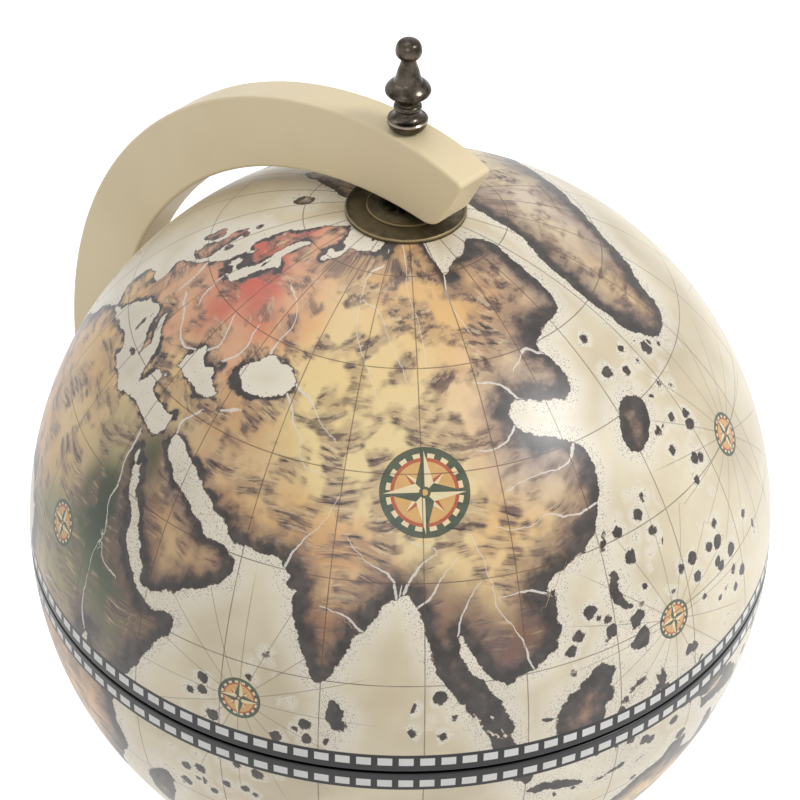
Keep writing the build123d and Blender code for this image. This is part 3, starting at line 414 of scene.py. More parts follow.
# each river from its mouth up
RIVERS = (
    ((86, 21.4), (85.4, 24.3), (81, 25.5), (77, 29.5)),
    ((87, 22), (89, 25.8), (94, 27.8), (88, 29.4)),
    ((67.3, 23.6), (69, 27.5), (72.5, 31), (75, 35)),
    ((80.6, 16.6), (77.5, 18.8), (74.5, 19.4)),
    ((88.8, 19.6), (92, 23), (95.5, 26.5)),
    ((95, 15.8), (96, 19), (98.5, 23)),
    ((106.5, 9.4), (104.5, 14), (102, 18), (100.5, 23), (98, 29.5)),
    ((109.6, 19.6), (106, 21.4), (102.5, 21)),
    ((121.6, 29.4), (116.5, 29), (112, 30.3), (107, 29.2), (103, 30.5)),
    ((110.8, 43), (106.6, 41), (102, 41.4)),
    ((122.6, 38.6), (118, 35.4), (112, 36), (106, 34.6)),
    ((127, 51), (121, 52.6), (116, 50.4)),
    ((114, 46.4), (110.5, 49), (105, 49.6)),
    ((107.4, 65), (104, 61), (108, 56)),
    ((82.5, 71.8), (86, 68), (88, 63), (91, 58), (93, 52)),
    ((73, 67), (66.5, 65), (68, 61), (76, 60), (83, 55.5), (87, 50.5)),
    ((68, 61), (69, 57), (73, 54.5), (81, 48)),
    ((49, 50), (48, 52), (50, 55), (46, 58), (38, 59)),
    ((39, 47), (42.5, 49), (40, 52.5)),
    ((32.5, 46.3), (35, 48.3), (31, 51.5)),
    ((29.8, 45), (24, 43.8), (19, 46.8), (11, 48.5)),
    ((38.8, 35), (38.4, 37), (41, 39.5)),
    ((49, 42.4), (45, 41)),
    ((58, 46.6), (62.5, 43), (66.5, 38.6), (71, 37.5)),
    ((59.5, 48), (66, 46), (72, 42)),
    ((4.2, 52), (7.5, 50), (8.5, 47.6)),
    ((14.5, 53.8), (16, 51), (18, 49.8)),
    ((31.2, 31.6), (31, 27.5), (32.8, 24), (31, 20), (33.5, 17), (32.6, 13), (31.5, 7), (32.5, 1)),
    ((32.6, 15.5), (35, 12), (38, 11.5)),
    ((6, 4.1), (6.5, 8), (3.5, 12), (-1, 16.5), (-7, 13)),
    ((-16.8, 16), (-13, 16.5), (-10, 13)),
    ((12.2, -6), (16, -3.5), (20, 1.5), (25, 1), (26, -6)),
    ((36.5, -18.8), (32, -16), (27, -17.8), (23, -15)),
    ((16.5, -28.6), (21, -28.5), (27, -30)),
    ((-89.2, 29), (-91, 33), (-89.3, 37), (-91, 41), (-94.5, 46.5)),
    ((-90.3, 38.8), (-96, 41), (-101, 46), (-109, 48)),
    ((-68.5, 48), (-73.5, 45.8), (-76.5, 44)),
    ((-97.2, 26), (-101, 29.5), (-106, 33)),
    ((-115, 31.8), (-114, 36), (-109, 39)),
    ((-124, 46.2), (-119, 46), (-116, 51)),
    ((-135, 69.3), (-129, 66), (-122, 61)),
    ((-50.2, -0.6), (-56, -2.2), (-63, -3.6), (-70, -3.8), (-74.5, -8), (-73, -12.5)),
    ((-62, 9.2), (-66.5, 7.5), (-67, 3.5)),
    ((-58.3, -34.2), (-60.2, -30), (-58.7, -25), (-54, -21)),
    ((-36.4, -10.5), (-41, -10), (-44.5, -16)),
    ((138.8, -35.6), (142.5, -34.3), (147, -36)),
    ((138, -5.5), (141, -6.2), (143.5, -5.6)),
)

# each mountain range, and the width of its hills in degrees
RANGES = (
    (4.0, ((60, 68), (75, 69), (90, 69), (100, 67))),
    (4.5, ((56, 40), (64, 41), (72, 37), (78, 32.5), (85, 28.8), (92, 28.5), (97, 29))),
    (3.5, ((67, 38), (74, 41), (82, 43), (92, 44))),
    (3.5, ((82, 49), (90, 49.5), (98, 51.5), (108, 53.5), (118, 57))),
    (3.0, ((60, 50), (58.5, 56), (60, 62), (66, 68))),
    (3.0, ((70, 52), (76, 55), (83, 59), (88, 66))),
    (3.0, ((93, 60), (100, 63), (106, 68), (100, 73))),
    (2.5, ((38, 44), (43, 42.8), (48, 41))),
    (4.5, ((42, 40), (49, 35), (58, 31), (64, 29))),
    (2.5, ((55, 36.5), (61, 35), (68, 34.5))),
    (2.5, ((6, 44.5), (10, 46.6), (15, 47))),
    (2.2, ((18, 49.3), (24, 48), (25, 45.5))),
    (2.5, ((8, 60), (13, 64), (18, 68))),
    (2.2, ((-6, 42.8), (1, 42.7))),
    (2.4, ((36.5, 27), (40, 21), (43.5, 15.5))),
    (3.0, ((37, 14.5), (38.5, 9.5), (36.5, 5))),
    (2.5, ((-8, 31), (-2, 33.5), (6, 35.3))),
    (3.5, ((30, 2), (29, -6), (34, -14), (31, -20))),
    (2.5, ((28, -31), (21, -32.5))),
    (3.0, ((17, 20), (12, 24), (6, 23.5))),
    (1.8, ((74, 20), (75, 14.5), (77, 10))),
    (2.0, ((85, 23), (80, 22.5), (76, 23))),
    (2.4, ((96, 27), (100, 25), (103, 22.5))),
    (2.2, ((103, 18.5), (106, 15.5), (107.5, 12))),
    (1.6, ((92, 19), (93.4, 13), (97.5, 6.5))),
    (3.0, ((104, 33), (110, 32.5), (115, 27), (118, 26))),
    (3.0, ((94, 37.5), (100, 38.5), (106, 41.5), (113, 44))),
    (3.5, ((108, 58), (118, 59), (128, 60), (138, 62))),
    (3.0, ((-196, 46), (-192, 51), (-196, 57), (-186, 62))),
    (1.3, ((132.5, 34.6), (138, 36.3), (140.8, 39.5))),
    (1.5, ((97, 4), (100.5, -0.5), (104, -4.5))),
    (2.0, ((111, 1), (115, 3.5), (116.5, 5.6))),
    (2.0, ((135, -3.8), (141, -5.2), (147, -8))),
    (4.0, ((-152, 63), (-137, 61), (-125, 55), (-116, 49), (-110, 43), (-106, 37))),
    (3.2, ((-120, 39), (-118, 35))),
    (3.2, ((-107, 29), (-104, 24), (-99, 19.5))),
    (2.8, ((-84, 34.5), (-79, 38.5), (-73, 43.5), (-67, 47))),
    (2.8, ((-76, 6), (-78.5, -2), (-75, -11), (-69, -17), (-69, -27), (-71, -38), (-73, -48))),
    (3.2, ((-47, -12), (-44, -18), (-48, -23))),
    (2.6, ((-64, 4), (-60, 3.5))),
    (2.8, ((145.5, -17), (148.5, -23), (151, -29), (148, -36))),
    (2.6, ((126, -17), (129, -22), (133, -23.5))),
    (2.6, ((-44, 66), (-40, 72), (-46, 78))),
)

# wash of each region: its middle, its reach in degrees and its colour
WASHES = (
    ((8, 50), 10, (205, 112, 92)),
    ((22, 63), 10, (208, 96, 80)),
    ((30, 53), 8, (204, 106, 86)),
    ((38, 61), 8, (204, 98, 80)),
    ((44, 68), 7, (194, 84, 74)),
    ((50, 57), 7, (220, 152, 104)),
    ((60, 66), 8, (216, 168, 106)),
    ((-4, 40), 8, (222, 176, 110)),
    ((14, 43), 6, (216, 150, 110)),
    ((30, 39), 7, (218, 178, 120)),
    ((66, 56), 9, (232, 200, 138)),
    ((70, 45), 11, (236, 212, 152)),
    ((85, 52), 11, (234, 204, 142)),
    ((82, 66), 10, (214, 158, 100)),
    ((100, 60), 11, (226, 184, 124)),
    ((90, 38), 10, (236, 214, 160)),
    ((105, 48), 9, (228, 186, 150)),
    ((120, 49), 7, (206, 182, 168)),
    ((114, 38), 8, (176, 160, 162)),
    ((125, 61), 9, (206, 150, 104)),
    ((142, 62), 7, (150, 138, 140)),
    ((166, 44), 8, (206, 160, 88)),
    ((162, 54), 9, (204, 178, 144)),
    ((176, 58), 12, (206, 186, 162)),
    ((-160, 58), 12, (214, 196, 176)),
    ((108, 28), 9, (228, 188, 128)),
    ((118, 28), 6, (226, 188, 146)),
    ((76, 24), 8, (214, 164, 110)),
    ((76, 14), 7, (186, 126, 84)),
    ((94, 14), 7, (128, 84, 58)),
    ((98, 4), 6, (120, 80, 58)),
    ((105, 14), 7, (130, 90, 64)),
    ((54, 36), 9, (196, 150, 104)),
    ((62, 30), 7, (216, 174, 118)),
    ((44, 33), 6, (188, 140, 98)),
    ((45, 22), 9, (178, 128, 84)),
    ((52, 19), 6, (196, 144, 94)),
    ((28, 29), 6, (150, 142, 100)),
    ((38, 8), 9, (112, 122, 88)),
    ((30, 20), 10, (44, 64, 46)),
    ((38, 13), 8, (36, 56, 42)),
    ((37, 31), 7, (52, 72, 54)),
    ((41, 12), 8, (52, 72, 52)),
    ((12, 24), 12, (212, 174, 116)),
    ((-6, 16), 10, (204, 150, 100)),
    ((22, 6), 10, (120, 126, 88)),
    ((22, -12), 12, (214, 164, 116)),
    ((28, -28), 8, (200, 118, 92)),
    ((47, -19), 5, (170, 160, 108)),
    ((-105, 45), 14, (230, 200, 140)),
    ((-82, 36), 9, (206, 128, 100)),
    ((-100, 26), 8, (178, 172, 118)),
    ((-120, 60), 16, (204, 186, 150)),
    ((-75, 54), 10, (186, 174, 160)),
    ((-88, 15), 6, (204, 120, 92)),
    ((-60, 0), 12, (190, 176, 120)),
    ((-45, -14), 10, (212, 150, 100)),
    ((-66, -22), 9, (228, 196, 136)),
    ((-68, -42), 10, (196, 122, 96)),
    ((-42, 74), 12, (196, 188, 176)),
    ((133, -25), 14, (224, 188, 128)),
    ((147, -30), 8, (206, 148, 104)),
    ((140, -6), 8, (186, 146, 100)),
    ((114, 1), 6, (190, 128, 84)),
    ((102, -3), 4, (190, 130, 86)),
    ((138, 37), 6, (186, 132, 96)),
    ((122, 12), 6, (180, 128, 90)),
    ((172, -42), 6, (190, 170, 120)),
    ((0, -84), 24, (206, 194, 172)),
)

# waters thick with islets: middle, reach in degrees
ARCHIPELAGOS = (
    ((73, 6), 5), ((93, 10), 4), ((58, -8), 8), ((125, -4), 9), ((118, 6), 8), ((107, 3), 5),
    ((124, 18), 6), ((127, 28), 6), ((134, 8), 9), ((144, 15), 8), ((150, 48), 7), ((146, 34), 6),
    ((24, 37), 3), ((160, -8), 9), ((-64, 17), 6), ((-75, 24), 5), ((-25, 38), 4), ((-17, 29), 4),
    ((-150, -16), 10), ((172, 0), 9), ((5, 66), 5), ((-110, 75), 8), ((-132, 53), 4), ((130, 34), 3),
    ((115, 20), 5), ((58, 6), 5), ((66, 15), 3),
)

# compass cards: middle, radius in millimetres
ROSES = (
    ((90.5, 42.5), 18.0), ((63, 9), 9.5), ((131, 14), 8.5), ((158, 30), 9.5), ((-38, 32), 10.0),
    ((-18, -24), 9.5), ((-155, 28), 10.0), ((-118, -22), 10.0), ((82, -32), 10.0), ((170, -22), 8.5),
    ((-108, 52), 12.0), ((22, 17), 10.0),
)

LANDS = (OLD_WORLD, AFRICA, NORTH_AMERICA, SOUTH_AMERICA, AUSTRALIA, *ISLANDS)
UNSCORCHED = ((22, 58), 30)  # middle and reach in degrees of the coasts with a thin edge only
THINNED, THINNING = 0.85, 1.6  # share of the dark edge that is lost there, and how fast
SCORCHED_WIDTH = 10.5  # mm, of the dark edge inside a coast
PLAIN_WASH = (226, 196, 140)  # of land that is far from every region's middle
REACH = 45.0  # mm, as far as distances are measured
LONGEST_STEP = 4.0  # degrees, between two points of an outline
WIDEST_GAP = 300  # degrees, between the ends of an outline; past it the outline goes round the globe
RUN = 10  # stretches of a line that are measured in one go
WOBBLE_SCALE, WOBBLE_DETAIL, WOBBLE = 9, 5, 0.012  # of outlines, on a globe with a radius of 1
WOBBLE_SEED = 7  # unseeded, the vector noise changes from run to run

# where lands are drawn too far up, in degrees north: from where, to where, and by how much
DRAWN_UP = ((-8, 12, 6.5), (46, 81, 3.5))


# ---------------------------------------------------------------- measuring the map


def unit(east, north):
    """Unit vectors of longitudes and latitudes given in radians."""
    return np.stack([np.cos(north) * np.cos(east), np.cos(north) * np.sin(east), np.sin(north)], -1)


def normalised(vectors):
    """Vectors brought to a length of 1."""
    return vectors / np.linalg.norm(vectors, axis=-1, keepdims=True)


def on_globe(places):
    """Unit vectors of places in degrees east and north, turned as the print is."""
    east, north = np.radians(np.asarray(places, float)).T
    return unit(east - bpy.context.scene.globe_bar_map.turn, north)


def angles(cosines):
    """Angles in radians of cosines that may be a hair past 1."""
    return np.arccos(np.clip(cosines, -1, 1))


def rounded(outline, closed=True):
    """An outline with its corners cut once, and no step over LONGEST_STEP."""
    places = np.asarray(outline, float)
    before, after = (places, np.roll(places, -1, 0)) if closed else (places[:-1], places[1:])
    cut = np.stack([before * 0.75 + after * 0.25, before * 0.25 + after * 0.75], 1).reshape(-1, 2)
    if not closed:
        cut = np.concatenate([places[:1], cut, places[-1:]])
    filled = []
    for start, end in zip(cut, np.roll(cut, -1, 0) if closed else cut[1:]):
        steps = max(1, math.ceil(np.abs(end - start).max() / LONGEST_STEP))
        filled += [start + (end - start) * share / steps for share in range(steps)]
    return np.array(filled if closed else [*filled, cut[-1]])


def nearest(points, line):
    """Distance in millimetres from points on the unit globe to a line, cut off at REACH, and its side."""
    radius = globe_radius / MM
    best = np.full(len(points), REACH)
    side = np.ones(len(points))
    for first in range(0, len(line) - 1, RUN):
        run = line[first : first + RUN + 1]
        middle = normalised(run.mean(0))
        spread = angles(run @ middle).max() + REACH / radius
        near = np.flatnonzero(points @ middle > math.cos(min(spread, math.pi)))
        if not len(near):
            continue
        start, end = run[:-1], run[1:]
        normal = normalised(np.cross(start, end))
        here = points[near]
        across = here @ normal.T
        beside = (here @ np.cross(normal, start).T > 0) & (here @ np.cross(end, normal).T > 0)
        from_ends = angles(np.maximum(here @ start.T, here @ end.T))
        gap = np.where(beside, np.arcsin(np.clip(np.abs(across), 0, 1)), from_ends) * radius
        row = np.arange(len(near))
        pick = gap.argmin(1)
        closer = gap[row, pick] < best[near]
        best[near[closer]] = gap[row, pick][closer]
        side[near[closer]] = np.sign(across[row, pick])[closer]
    return best, side


def inside(places, ring):
    """Which places, in degrees, lie inside an outline; one round the globe takes in the south pole."""
    east, north = places.T
    if abs(ring[0, 0] - ring[-1, 0]) > WIDEST_GAP:
        ring = np.concatenate([ring, [(ring[-1, 0], -90), (ring[0, 0], -90)]])
    within = np.zeros(len(places), bool)
    for start, end in zip(ring, np.roll(ring, -1, 0)):
        if start[1] == end[1]:
            continue
        spans = (start[1] > north) != (end[1] > north)
        limit = start[0] + (end[0] - start[0]) * (north - start[1]) / (end[1] - start[1])
        within ^= spans & (east < limit)
    return within


def measure_shore(points, places):
    """Distance to the coast in millimetres, above zero on land."""
    ring = rounded(FAR_SOUTH, closed=False)
    gap = nearest(points, on_globe(ring))[0]
    land = inside(places, ring)
    for outlines, is_land in ((LANDS, True), (INLAND_SEAS, False)):
        for ring in map(rounded, outlines):
            gap = np.minimum(gap, nearest(points, on_globe([*ring, ring[0]]))[0])
            for turn in (-360, 0, 360):
                land[inside(places + (turn, 0), ring)] = is_land
    return np.where(land, gap, -gap)


def measure_rivers(points):
    """Distance to the nearest river in millimetres, and on which side of it a point lies."""
    gap = np.full(len(points), REACH)
    side = np.ones(len(points))
    for course in RIVERS:
        there, turned = nearest(points, on_globe(rounded(course, closed=False)))
        closer = there < gap
        gap[closer], side[closer] = there[closer], turned[closer]
    return gap, side


def measure_hills(points):
    """How hilly the land is, 0 to 1."""
    hills = np.zeros(len(points))
    for width, ridge in RANGES:
        gap = nearest(points, on_globe(rounded(ridge, closed=False)))[0]
        reach = math.radians(width) * globe_radius / MM
        hills = np.maximum(hills, np.exp(-((gap / reach) ** 2)))
    return hills


def closeness(points, middle, reach):
    """1 at a place, falling smoothly to 0 past its reach in degrees."""
    return np.exp(-((angles(points @ on_globe([middle])[0]) / math.radians(reach)) ** 2))


def measure_wash(points):
    """Colour of the regions' washes, each strongest about its middle."""
    total = np.full((len(points), 1), 1e-6)
    colour = total * linear(*PLAIN_WASH)
    for middle, reach, wash in WASHES:
        share = closeness(points, middle, reach)[:, None] ** 2
        colour = colour + share * linear(*wash)
        total = total + share
    return colour / total


def measure_islets(points):
    """How thick the waters are with islets, 0 to 1."""
    return np.max([closeness(points, middle, reach) for middle, reach in ARCHIPELAGOS], axis=0)


def measure_roses(points):
    """Place east and north of the nearest compass card in millimetres, and that card's radius."""
    found = np.zeros((len(points), 3))
    best = np.full(len(points), -2.0)
    for middle, radius in ROSES:
        up = on_globe([middle])[0]
        east = normalised(np.cross((0, 0, 1), up))
        facing = points @ up
        closer = facing > best
        best[closer] = facing[closer]
        local = points[closer] @ np.stack([east, np.cross(up, east)], -1) * globe_radius / MM
        found[closer] = np.concatenate([local, np.full((len(local), 1), radius)], 1)
    return found


def wander_points(points):
    """Points moved a little along the globe, so that outlines don't run straight."""
    noise.seed_set(WOBBLE_SEED)
    shifts = [noise.turbulence_vector(Vector(p) * WOBBLE_SCALE, WOBBLE_DETAIL, False) for p in points]
    return normalised(points + np.array(shifts) * WOBBLE)


def eased(values, low, high):
    """0 below low, 1 above high and smooth between."""
    share = np.clip((values - low) / (high - low), 0, 1)
    return share * share * (3 - 2 * share)


def old_places(points):
    """Points moved to the places that are drawn there, since old maps set many lands too far up."""
    north = np.degrees(np.arcsin(points[:, 2]))
    north = north - sum(shift * eased(north, low, high) for low, high, shift in DRAWN_UP)
    return unit(np.arctan2(points[:, 1], points[:, 0]), np.radians(north))


def write_measure(mesh, name, values, kind="FLOAT", field="value"):
    """Gives each point of a mesh its value of a named attribute."""
    data = mesh.attributes.new(name, kind, "POINT").data
    data.foreach_set(field, values.astype(np.float32).ravel())


def print_map(mesh):
    """Writes the map's measures to the mesh's points."""
    points = np.zeros(len(mesh.vertices) * 3)
    mesh.vertices.foreach_get("co", points)
    points = normalised(points.reshape(-1, 3) - (0, 0, equator_z))
    moved = wander_points(old_places(points))
    east = np.degrees(np.arctan2(moved[:, 1], moved[:, 0]) + bpy.context.scene.globe_bar_map.turn)
    places = np.stack([(east + 180) % 360 - 180, np.degrees(np.arcsin(moved[:, 2]))], -1)
    plain = np.clip(THINNING * closeness(points, *UNSCORCHED), 0, 1)
    river, bank = measure_rivers(moved)
    write_measure(mesh, "shore", measure_shore(moved, places))
    write_measure(mesh, "river", river * bank)
    write_measure(mesh, "from_river", river)
    write_measure(mesh, "hills", measure_hills(moved))
    write_measure(mesh, "islets", measure_islets(points))
    write_measure(mesh, "scorch", SCORCHED_WIDTH * (1 - THINNED * plain))
    write_measure(mesh, "rose", measure_roses(points), "FLOAT_VECTOR", "vector")
    wash = np.concatenate([measure_wash(moved), np.ones((len(points), 1))], 1)
    write_measure(mesh, "wash", wash, "FLOAT_COLOR", "color")


# ---------------------------------------------------------------- map's finish

# printed details in millimetres: from the coast, across a dot or islet, or from the equator
GLOW_WIDTH = 14.0
DOTTED_WIDTH = 7.0
DOT_SPACING, DOT_SIZES = 0.62, (0.12, 0.25)
ISLET_SPACING, ISLET_SIZES = 8.5, (0.9, 3.1)
RIVER_WIDENING, RIVER_HALVES = 24.0, (0.16, 0.55)
RHUMB_ENDS, RHUMB_EDGE = (62.0, 40.0), (0.3, 0.12)
GRID_EDGE, COAST_EDGE = (0.34, 0.14), (0.4, 0.15)
BAND_EDGE = (9.75, 9.6)
BLOCK_SIDE, BLOCK_FOOT, BLOCK_TOP = (1.22, 1.42), (4.0, 4.2), (8.1, 7.9)
STROKE_RADIUS = 120.0  # off the axis, where a brush stroke has its full length
LEAST_HILLS = 0.44  # 0 to 1, of land outside the ranges

COAST_INK = linear(66, 46, 38)
CARD_GREEN, CARD_RUST = linear(58, 76, 62), linear(178, 84, 58)
CARD_OCHRE, CARD_CREAM = linear(214, 168, 104), linear(232, 214, 172)


def paint_sea(finish, place, shore, scorch, inks):
    """Aged paper with a pale glow and dots along scorched coasts."""
    sea = finish.mix(finish.step(finish.noise(place, 60, 3), 0.3, 0.7), inks.paper, linear(230, 218, 190))
    sea = finish.over(sea, linear(206, 188, 152), finish.step(finish.noise(place, 26, 3), 0.45, 0.85), 0.5)
    offshore = finish.times(shore, -1.0)
    sea = finish.over(sea, linear(238, 232, 220), finish.step(offshore, GLOW_WIDTH, 1.0), 0.55)
    gap, chance, spread = finish.cells(place, DOT_SPACING)
    dense = finish.step(finish.plus(offshore, finish.wander(place, 9, 2.5)), DOTTED_WIDTH, 0.5)
    likely = finish.times(finish.times(dense, finish.step(scorch, 1.0, 4.5)), 0.95)
    drawn = finish.math("LESS_THAN", chance, likely)
    inner = finish.less(finish.scale_to(spread, *DOT_SIZES), gap)
    return finish.over(sea, linear(84, 78, 72), finish.times(drawn, finish.step(inner, -0.08, 0.08)), 0.75)


def brush_marks(finish, place, length, height, low, high):
    """Brush strokes that run east and west, of about this length and height; 0 to 1."""
    x, y, z = finish.split(place)
    around = finish.times(finish.math("ARCTAN2", y, x), STROKE_RADIUS * height / length)
    slant = finish.plus(z, finish.wander(place, 46, 5, 1))
    return finish.step(finish.noise(finish.join(around, slant), height, 4, 0.6), low, high)


def paint_hills(finish, place, land):
    """Clusters of long thin strokes over a soft shade, thick where the land is hilly."""
    hills = finish.math("MAXIMUM", finish.attribute("hills"), LEAST_HILLS)
    clumps = finish.step(finish.noise(place, 13), 0.42, 0.58)
    dense = finish.times(clumps, finish.step(hills, 0.0, 0.65))
    land = finish.over(land, linear(150, 122, 102), dense, 0.55)
    strokes = finish.times(brush_marks(finish, place, 14, 2.6, 0.46, 0.58), dense)
    shade = finish.mix(finish.noise(place, 14), linear(92, 80, 84), linear(120, 92, 74))
    land = finish.over(land, shade, strokes, 0.9)
    core = finish.times(brush_marks(finish, place, 9, 1.3, 0.52, 0.60), strokes)
    land = finish.over(land, linear(48, 42, 44), core, 0.8)
    light = finish.times(brush_marks(finish, place, 12, 1.8, 0.46, 0.38), dense)
    return finish.over(land, linear(232, 208, 166), light, 0.5)


def paint_land(finish, place, shore, scorch, inks):
    """Washes with hills, scorched towards the coast, and pale rivers that widen to their mouth."""
    land = finish.attribute("wash", "Color")
    warm = finish.step(finish.add("SeparateColor", {0: land}).outputs[0], 0.06, 0.35)
    pale = finish.times(finish.step(finish.noise(place, 36), 0.35, 0.65), warm)
    land = finish.over(land, linear(230, 208, 164), pale, 0.5)
    deep = finish.step(finish.noise(place, 17, 3, 0.55), 0.50, 0.78)
    land = finish.over(land, linear(176, 120, 74), deep, 0.22, "MULTIPLY")
    land = paint_hills(finish, place, land)
    ragged = finish.plus(shore, finish.wander(place, 9.0, 4.5))
    wide, middling, narrow = (finish.times(scorch, share) for share in (2.3, 1.05, 0.3))
    smoke = finish.mix(finish.noise(place, 30, 1), linear(112, 100, 104), linear(122, 92, 70))
    land = finish.over(land, smoke, finish.step(ragged, wide, narrow), 0.82)
    ash = finish.mix(finish.step(finish.noise(place, 6, 3), 0.3, 0.8), inks.char, linear(82, 76, 72))
    land = finish.over(land, ash, finish.step(ragged, middling, narrow), 0.95)
    course = finish.math("ABSOLUTE", finish.plus(finish.attribute("river"), finish.wander(place, 4, 0.5)))
    half = finish.scale_to(finish.step(shore, RIVER_WIDENING, 0.0), *RIVER_HALVES)
    water = finish.step(finish.less(course, half), 0.12, -0.12)
    water = finish.times(water, finish.step(finish.attribute("from_river"), 2.0, 1.4))
    return finish.over(land, linear(224, 216, 206), water, 0.85)


def paint_grid(finish, ground, place, inks):
    """Thin lines of longitude and latitude."""
    x, y, z = finish.split(place)
    half = inks.grid_step / 2
    off_axis = finish.length(x, y)
    around = finish.plus(finish.math("ARCTAN2", y, x), inks.turn)
    meridian = finish.times(finish.math("PINGPONG", around, half), off_axis)
    parallel = finish.math("PINGPONG", finish.math("ARCTAN2", z, off_axis), half)
    parallel = finish.times(parallel, globe_radius / MM)
    line = finish.step(finish.math("MINIMUM", meridian, parallel), *GRID_EDGE)
    return finish.over(ground, inks.line, line, finish.scale_to(finish.noise(place, 9, 3), 0.35, 1.0))


def paint_roses(finish, ground, sea, inks):
    """Compass cards: rings, a chequered scale and eight points, with their lines over the sea."""
    east, north, size = finish.split(finish.attribute("rose", "Vector"))
    ray = finish.length(east, north)
    angle = finish.math("ARCTAN2", north, east)
    share = finish.math("DIVIDE", ray, size)
    folds = finish.math("PINGPONG", angle, math.pi / 16)
    rhumbs = finish.times(finish.step(finish.times(folds, ray), *RHUMB_EDGE), sea)
    ground = finish.over(ground, inks.line, finish.times(rhumbs, finish.step(ray, *RHUMB_ENDS)), 0.45)

    scale = finish.mix(finish.math("LESS_THAN", folds, math.pi / 32), CARD_CREAM, CARD_GREEN)
    design = CARD_OCHRE
    for inner, ring in ((0.68, CARD_RUST), (0.76, scale), (0.86, CARD_GREEN)):
        design = finish.mix(finish.math("GREATER_THAN", share, inner), design, ring)
    for turn, length, dark in ((math.pi / 4, 0.62, CARD_RUST), (0.0, 0.92, CARD_GREEN)):
        local = finish.less(angle, turn)
        folded = finish.math("PINGPONG", local, math.pi / 4)
        along = finish.times(share, finish.math("COSINE", folded))
        width = finish.times(finish.times(share, finish.math("SINE", folded)), 3.6)
        side = finish.math("GREATER_THAN", finish.math("SINE", finish.times(local, 4.0)), 0.0)
        point = finish.math("LESS_THAN", finish.plus(along, width), length)
        design = finish.mix(point, design, finish.mix(side, CARD_CREAM, dark))
    for outer, hub in ((0.13, CARD_GREEN), (0.07, CARD_OCHRE)):
        design = finish.mix(finish.math("LESS_THAN", share, outer), design, hub)
    return finish.over(ground, design, finish.math("LESS_THAN", share, 1.0), 0.92)


def paint_band(finish, ground, place, inks):
    """Equator's band: two rows of pale blocks on a dark ground, either side of the seam."""
    x, y, z = finish.split(place)
    height = finish.math("ABSOLUTE", z)
    along = finish.math("PINGPONG", finish.math("ARCTAN2", y, x), math.pi / inks.band_blocks)
    side = finish.step(finish.times(along, globe_radius / MM), *BLOCK_SIDE)
    row = finish.times(finish.step(height, *BLOCK_FOOT), finish.step(height, *BLOCK_TOP))
    worn = finish.scale_to(finish.noise(place, 3, 4), 0.82, 1.0)
    band = finish.over(inks.band_dark, inks.band_light, finish.times(side, row), worn)
    return finish.mix(finish.step(height, *BAND_EDGE), ground, band)


def map_finish(inks):
    """The printed map under satin lacquer."""
    finish = Finish("globe_map")
    place = finish.millimetres((0, 0, equator_z))
    coast = finish.plus(finish.attribute("shore"), finish.wander(place, 7, 1.6, 6))
    coast = finish.plus(coast, finish.wander(place, 1.6, 0.45))
    gap, chance, spread = finish.cells(place, ISLET_SPACING)
    drawn = finish.math("LESS_THAN", chance, finish.times(finish.attribute("islets"), 1.15))
    islet = finish.less(finish.scale_to(spread, *ISLET_SIZES), gap)
    islet = finish.plus(islet, finish.wander(place, 2.5, 0.8))
    islet = finish.less(islet, finish.times(finish.less(1.0, drawn), REACH))
    shore = finish.math("MAXIMUM", coast, islet)
    scorch = finish.attribute("scorch")

    is_land = finish.step(shore, -0.12, 0.12)
    fringe = finish.math("MAXIMUM", coast, finish.times(islet, 3.0))
    sea = paint_sea(finish, place, fringe, scorch, inks)
    ground = finish.mix(is_land, sea, paint_land(finish, place, shore, scorch, inks))
    outline = finish.step(finish.math("ABSOLUTE", shore), *COAST_EDGE)
    ground = finish.over(ground, COAST_INK, outline, 0.8)
    ground = paint_roses(finish, ground, finish.less(1.0, is_land), inks)
    ground = paint_grid(finish, ground, place, inks)
    return finish.surface(
        Base_Color=paint_band(finish, ground, place, inks),
        Roughness=finish.scale_to(finish.noise(place, 28, 3), 0.27, 0.35),
        Specular_IOR_Level=0.48,
        Normal=finish.bump(finish.noise(place, 16), 0.0004, 0.25),
    )


def lining_finish(colour):
    """Paper lining inside the shells, mottled and matt."""
    finish = Finish("shell_lining")
    place = finish.millimetres()
    clouds = finish.step(finish.noise(place, 30, 6, 0.6), 0.35, 0.7)
    return finish.surface(
        Base_Color=finish.over(colour, linear(176, 142, 96), clouds, 0.6),
        Roughness=0.62,
        Normal=finish.bump(finish.noise(place, 1.2, 4, 0.7), 0.0001, 0.4),
    )


# ---------------------------------------------------------------- hemispheres

SKIN_FINENESS, LINING_FINENESS = 8, 6  # subdivisions of the sphere each is cut from
ROUNDING_STEPS = 3
CUT_MERGE = 1e-7  # metres, within which a corner lies on the cut


def finished(name, shape, materials):
    """A piece of this shape in the scene, with its materials."""
    mesh = bpy.data.meshes.new(name)
    shape.to_mesh(mesh)
    shape.free()
    for material in materials:
        mesh.materials.append(material)
    piece = bpy.data.objects.new(name, mesh)
    bpy.context.scene.collection.objects.link(piece)
    return piece


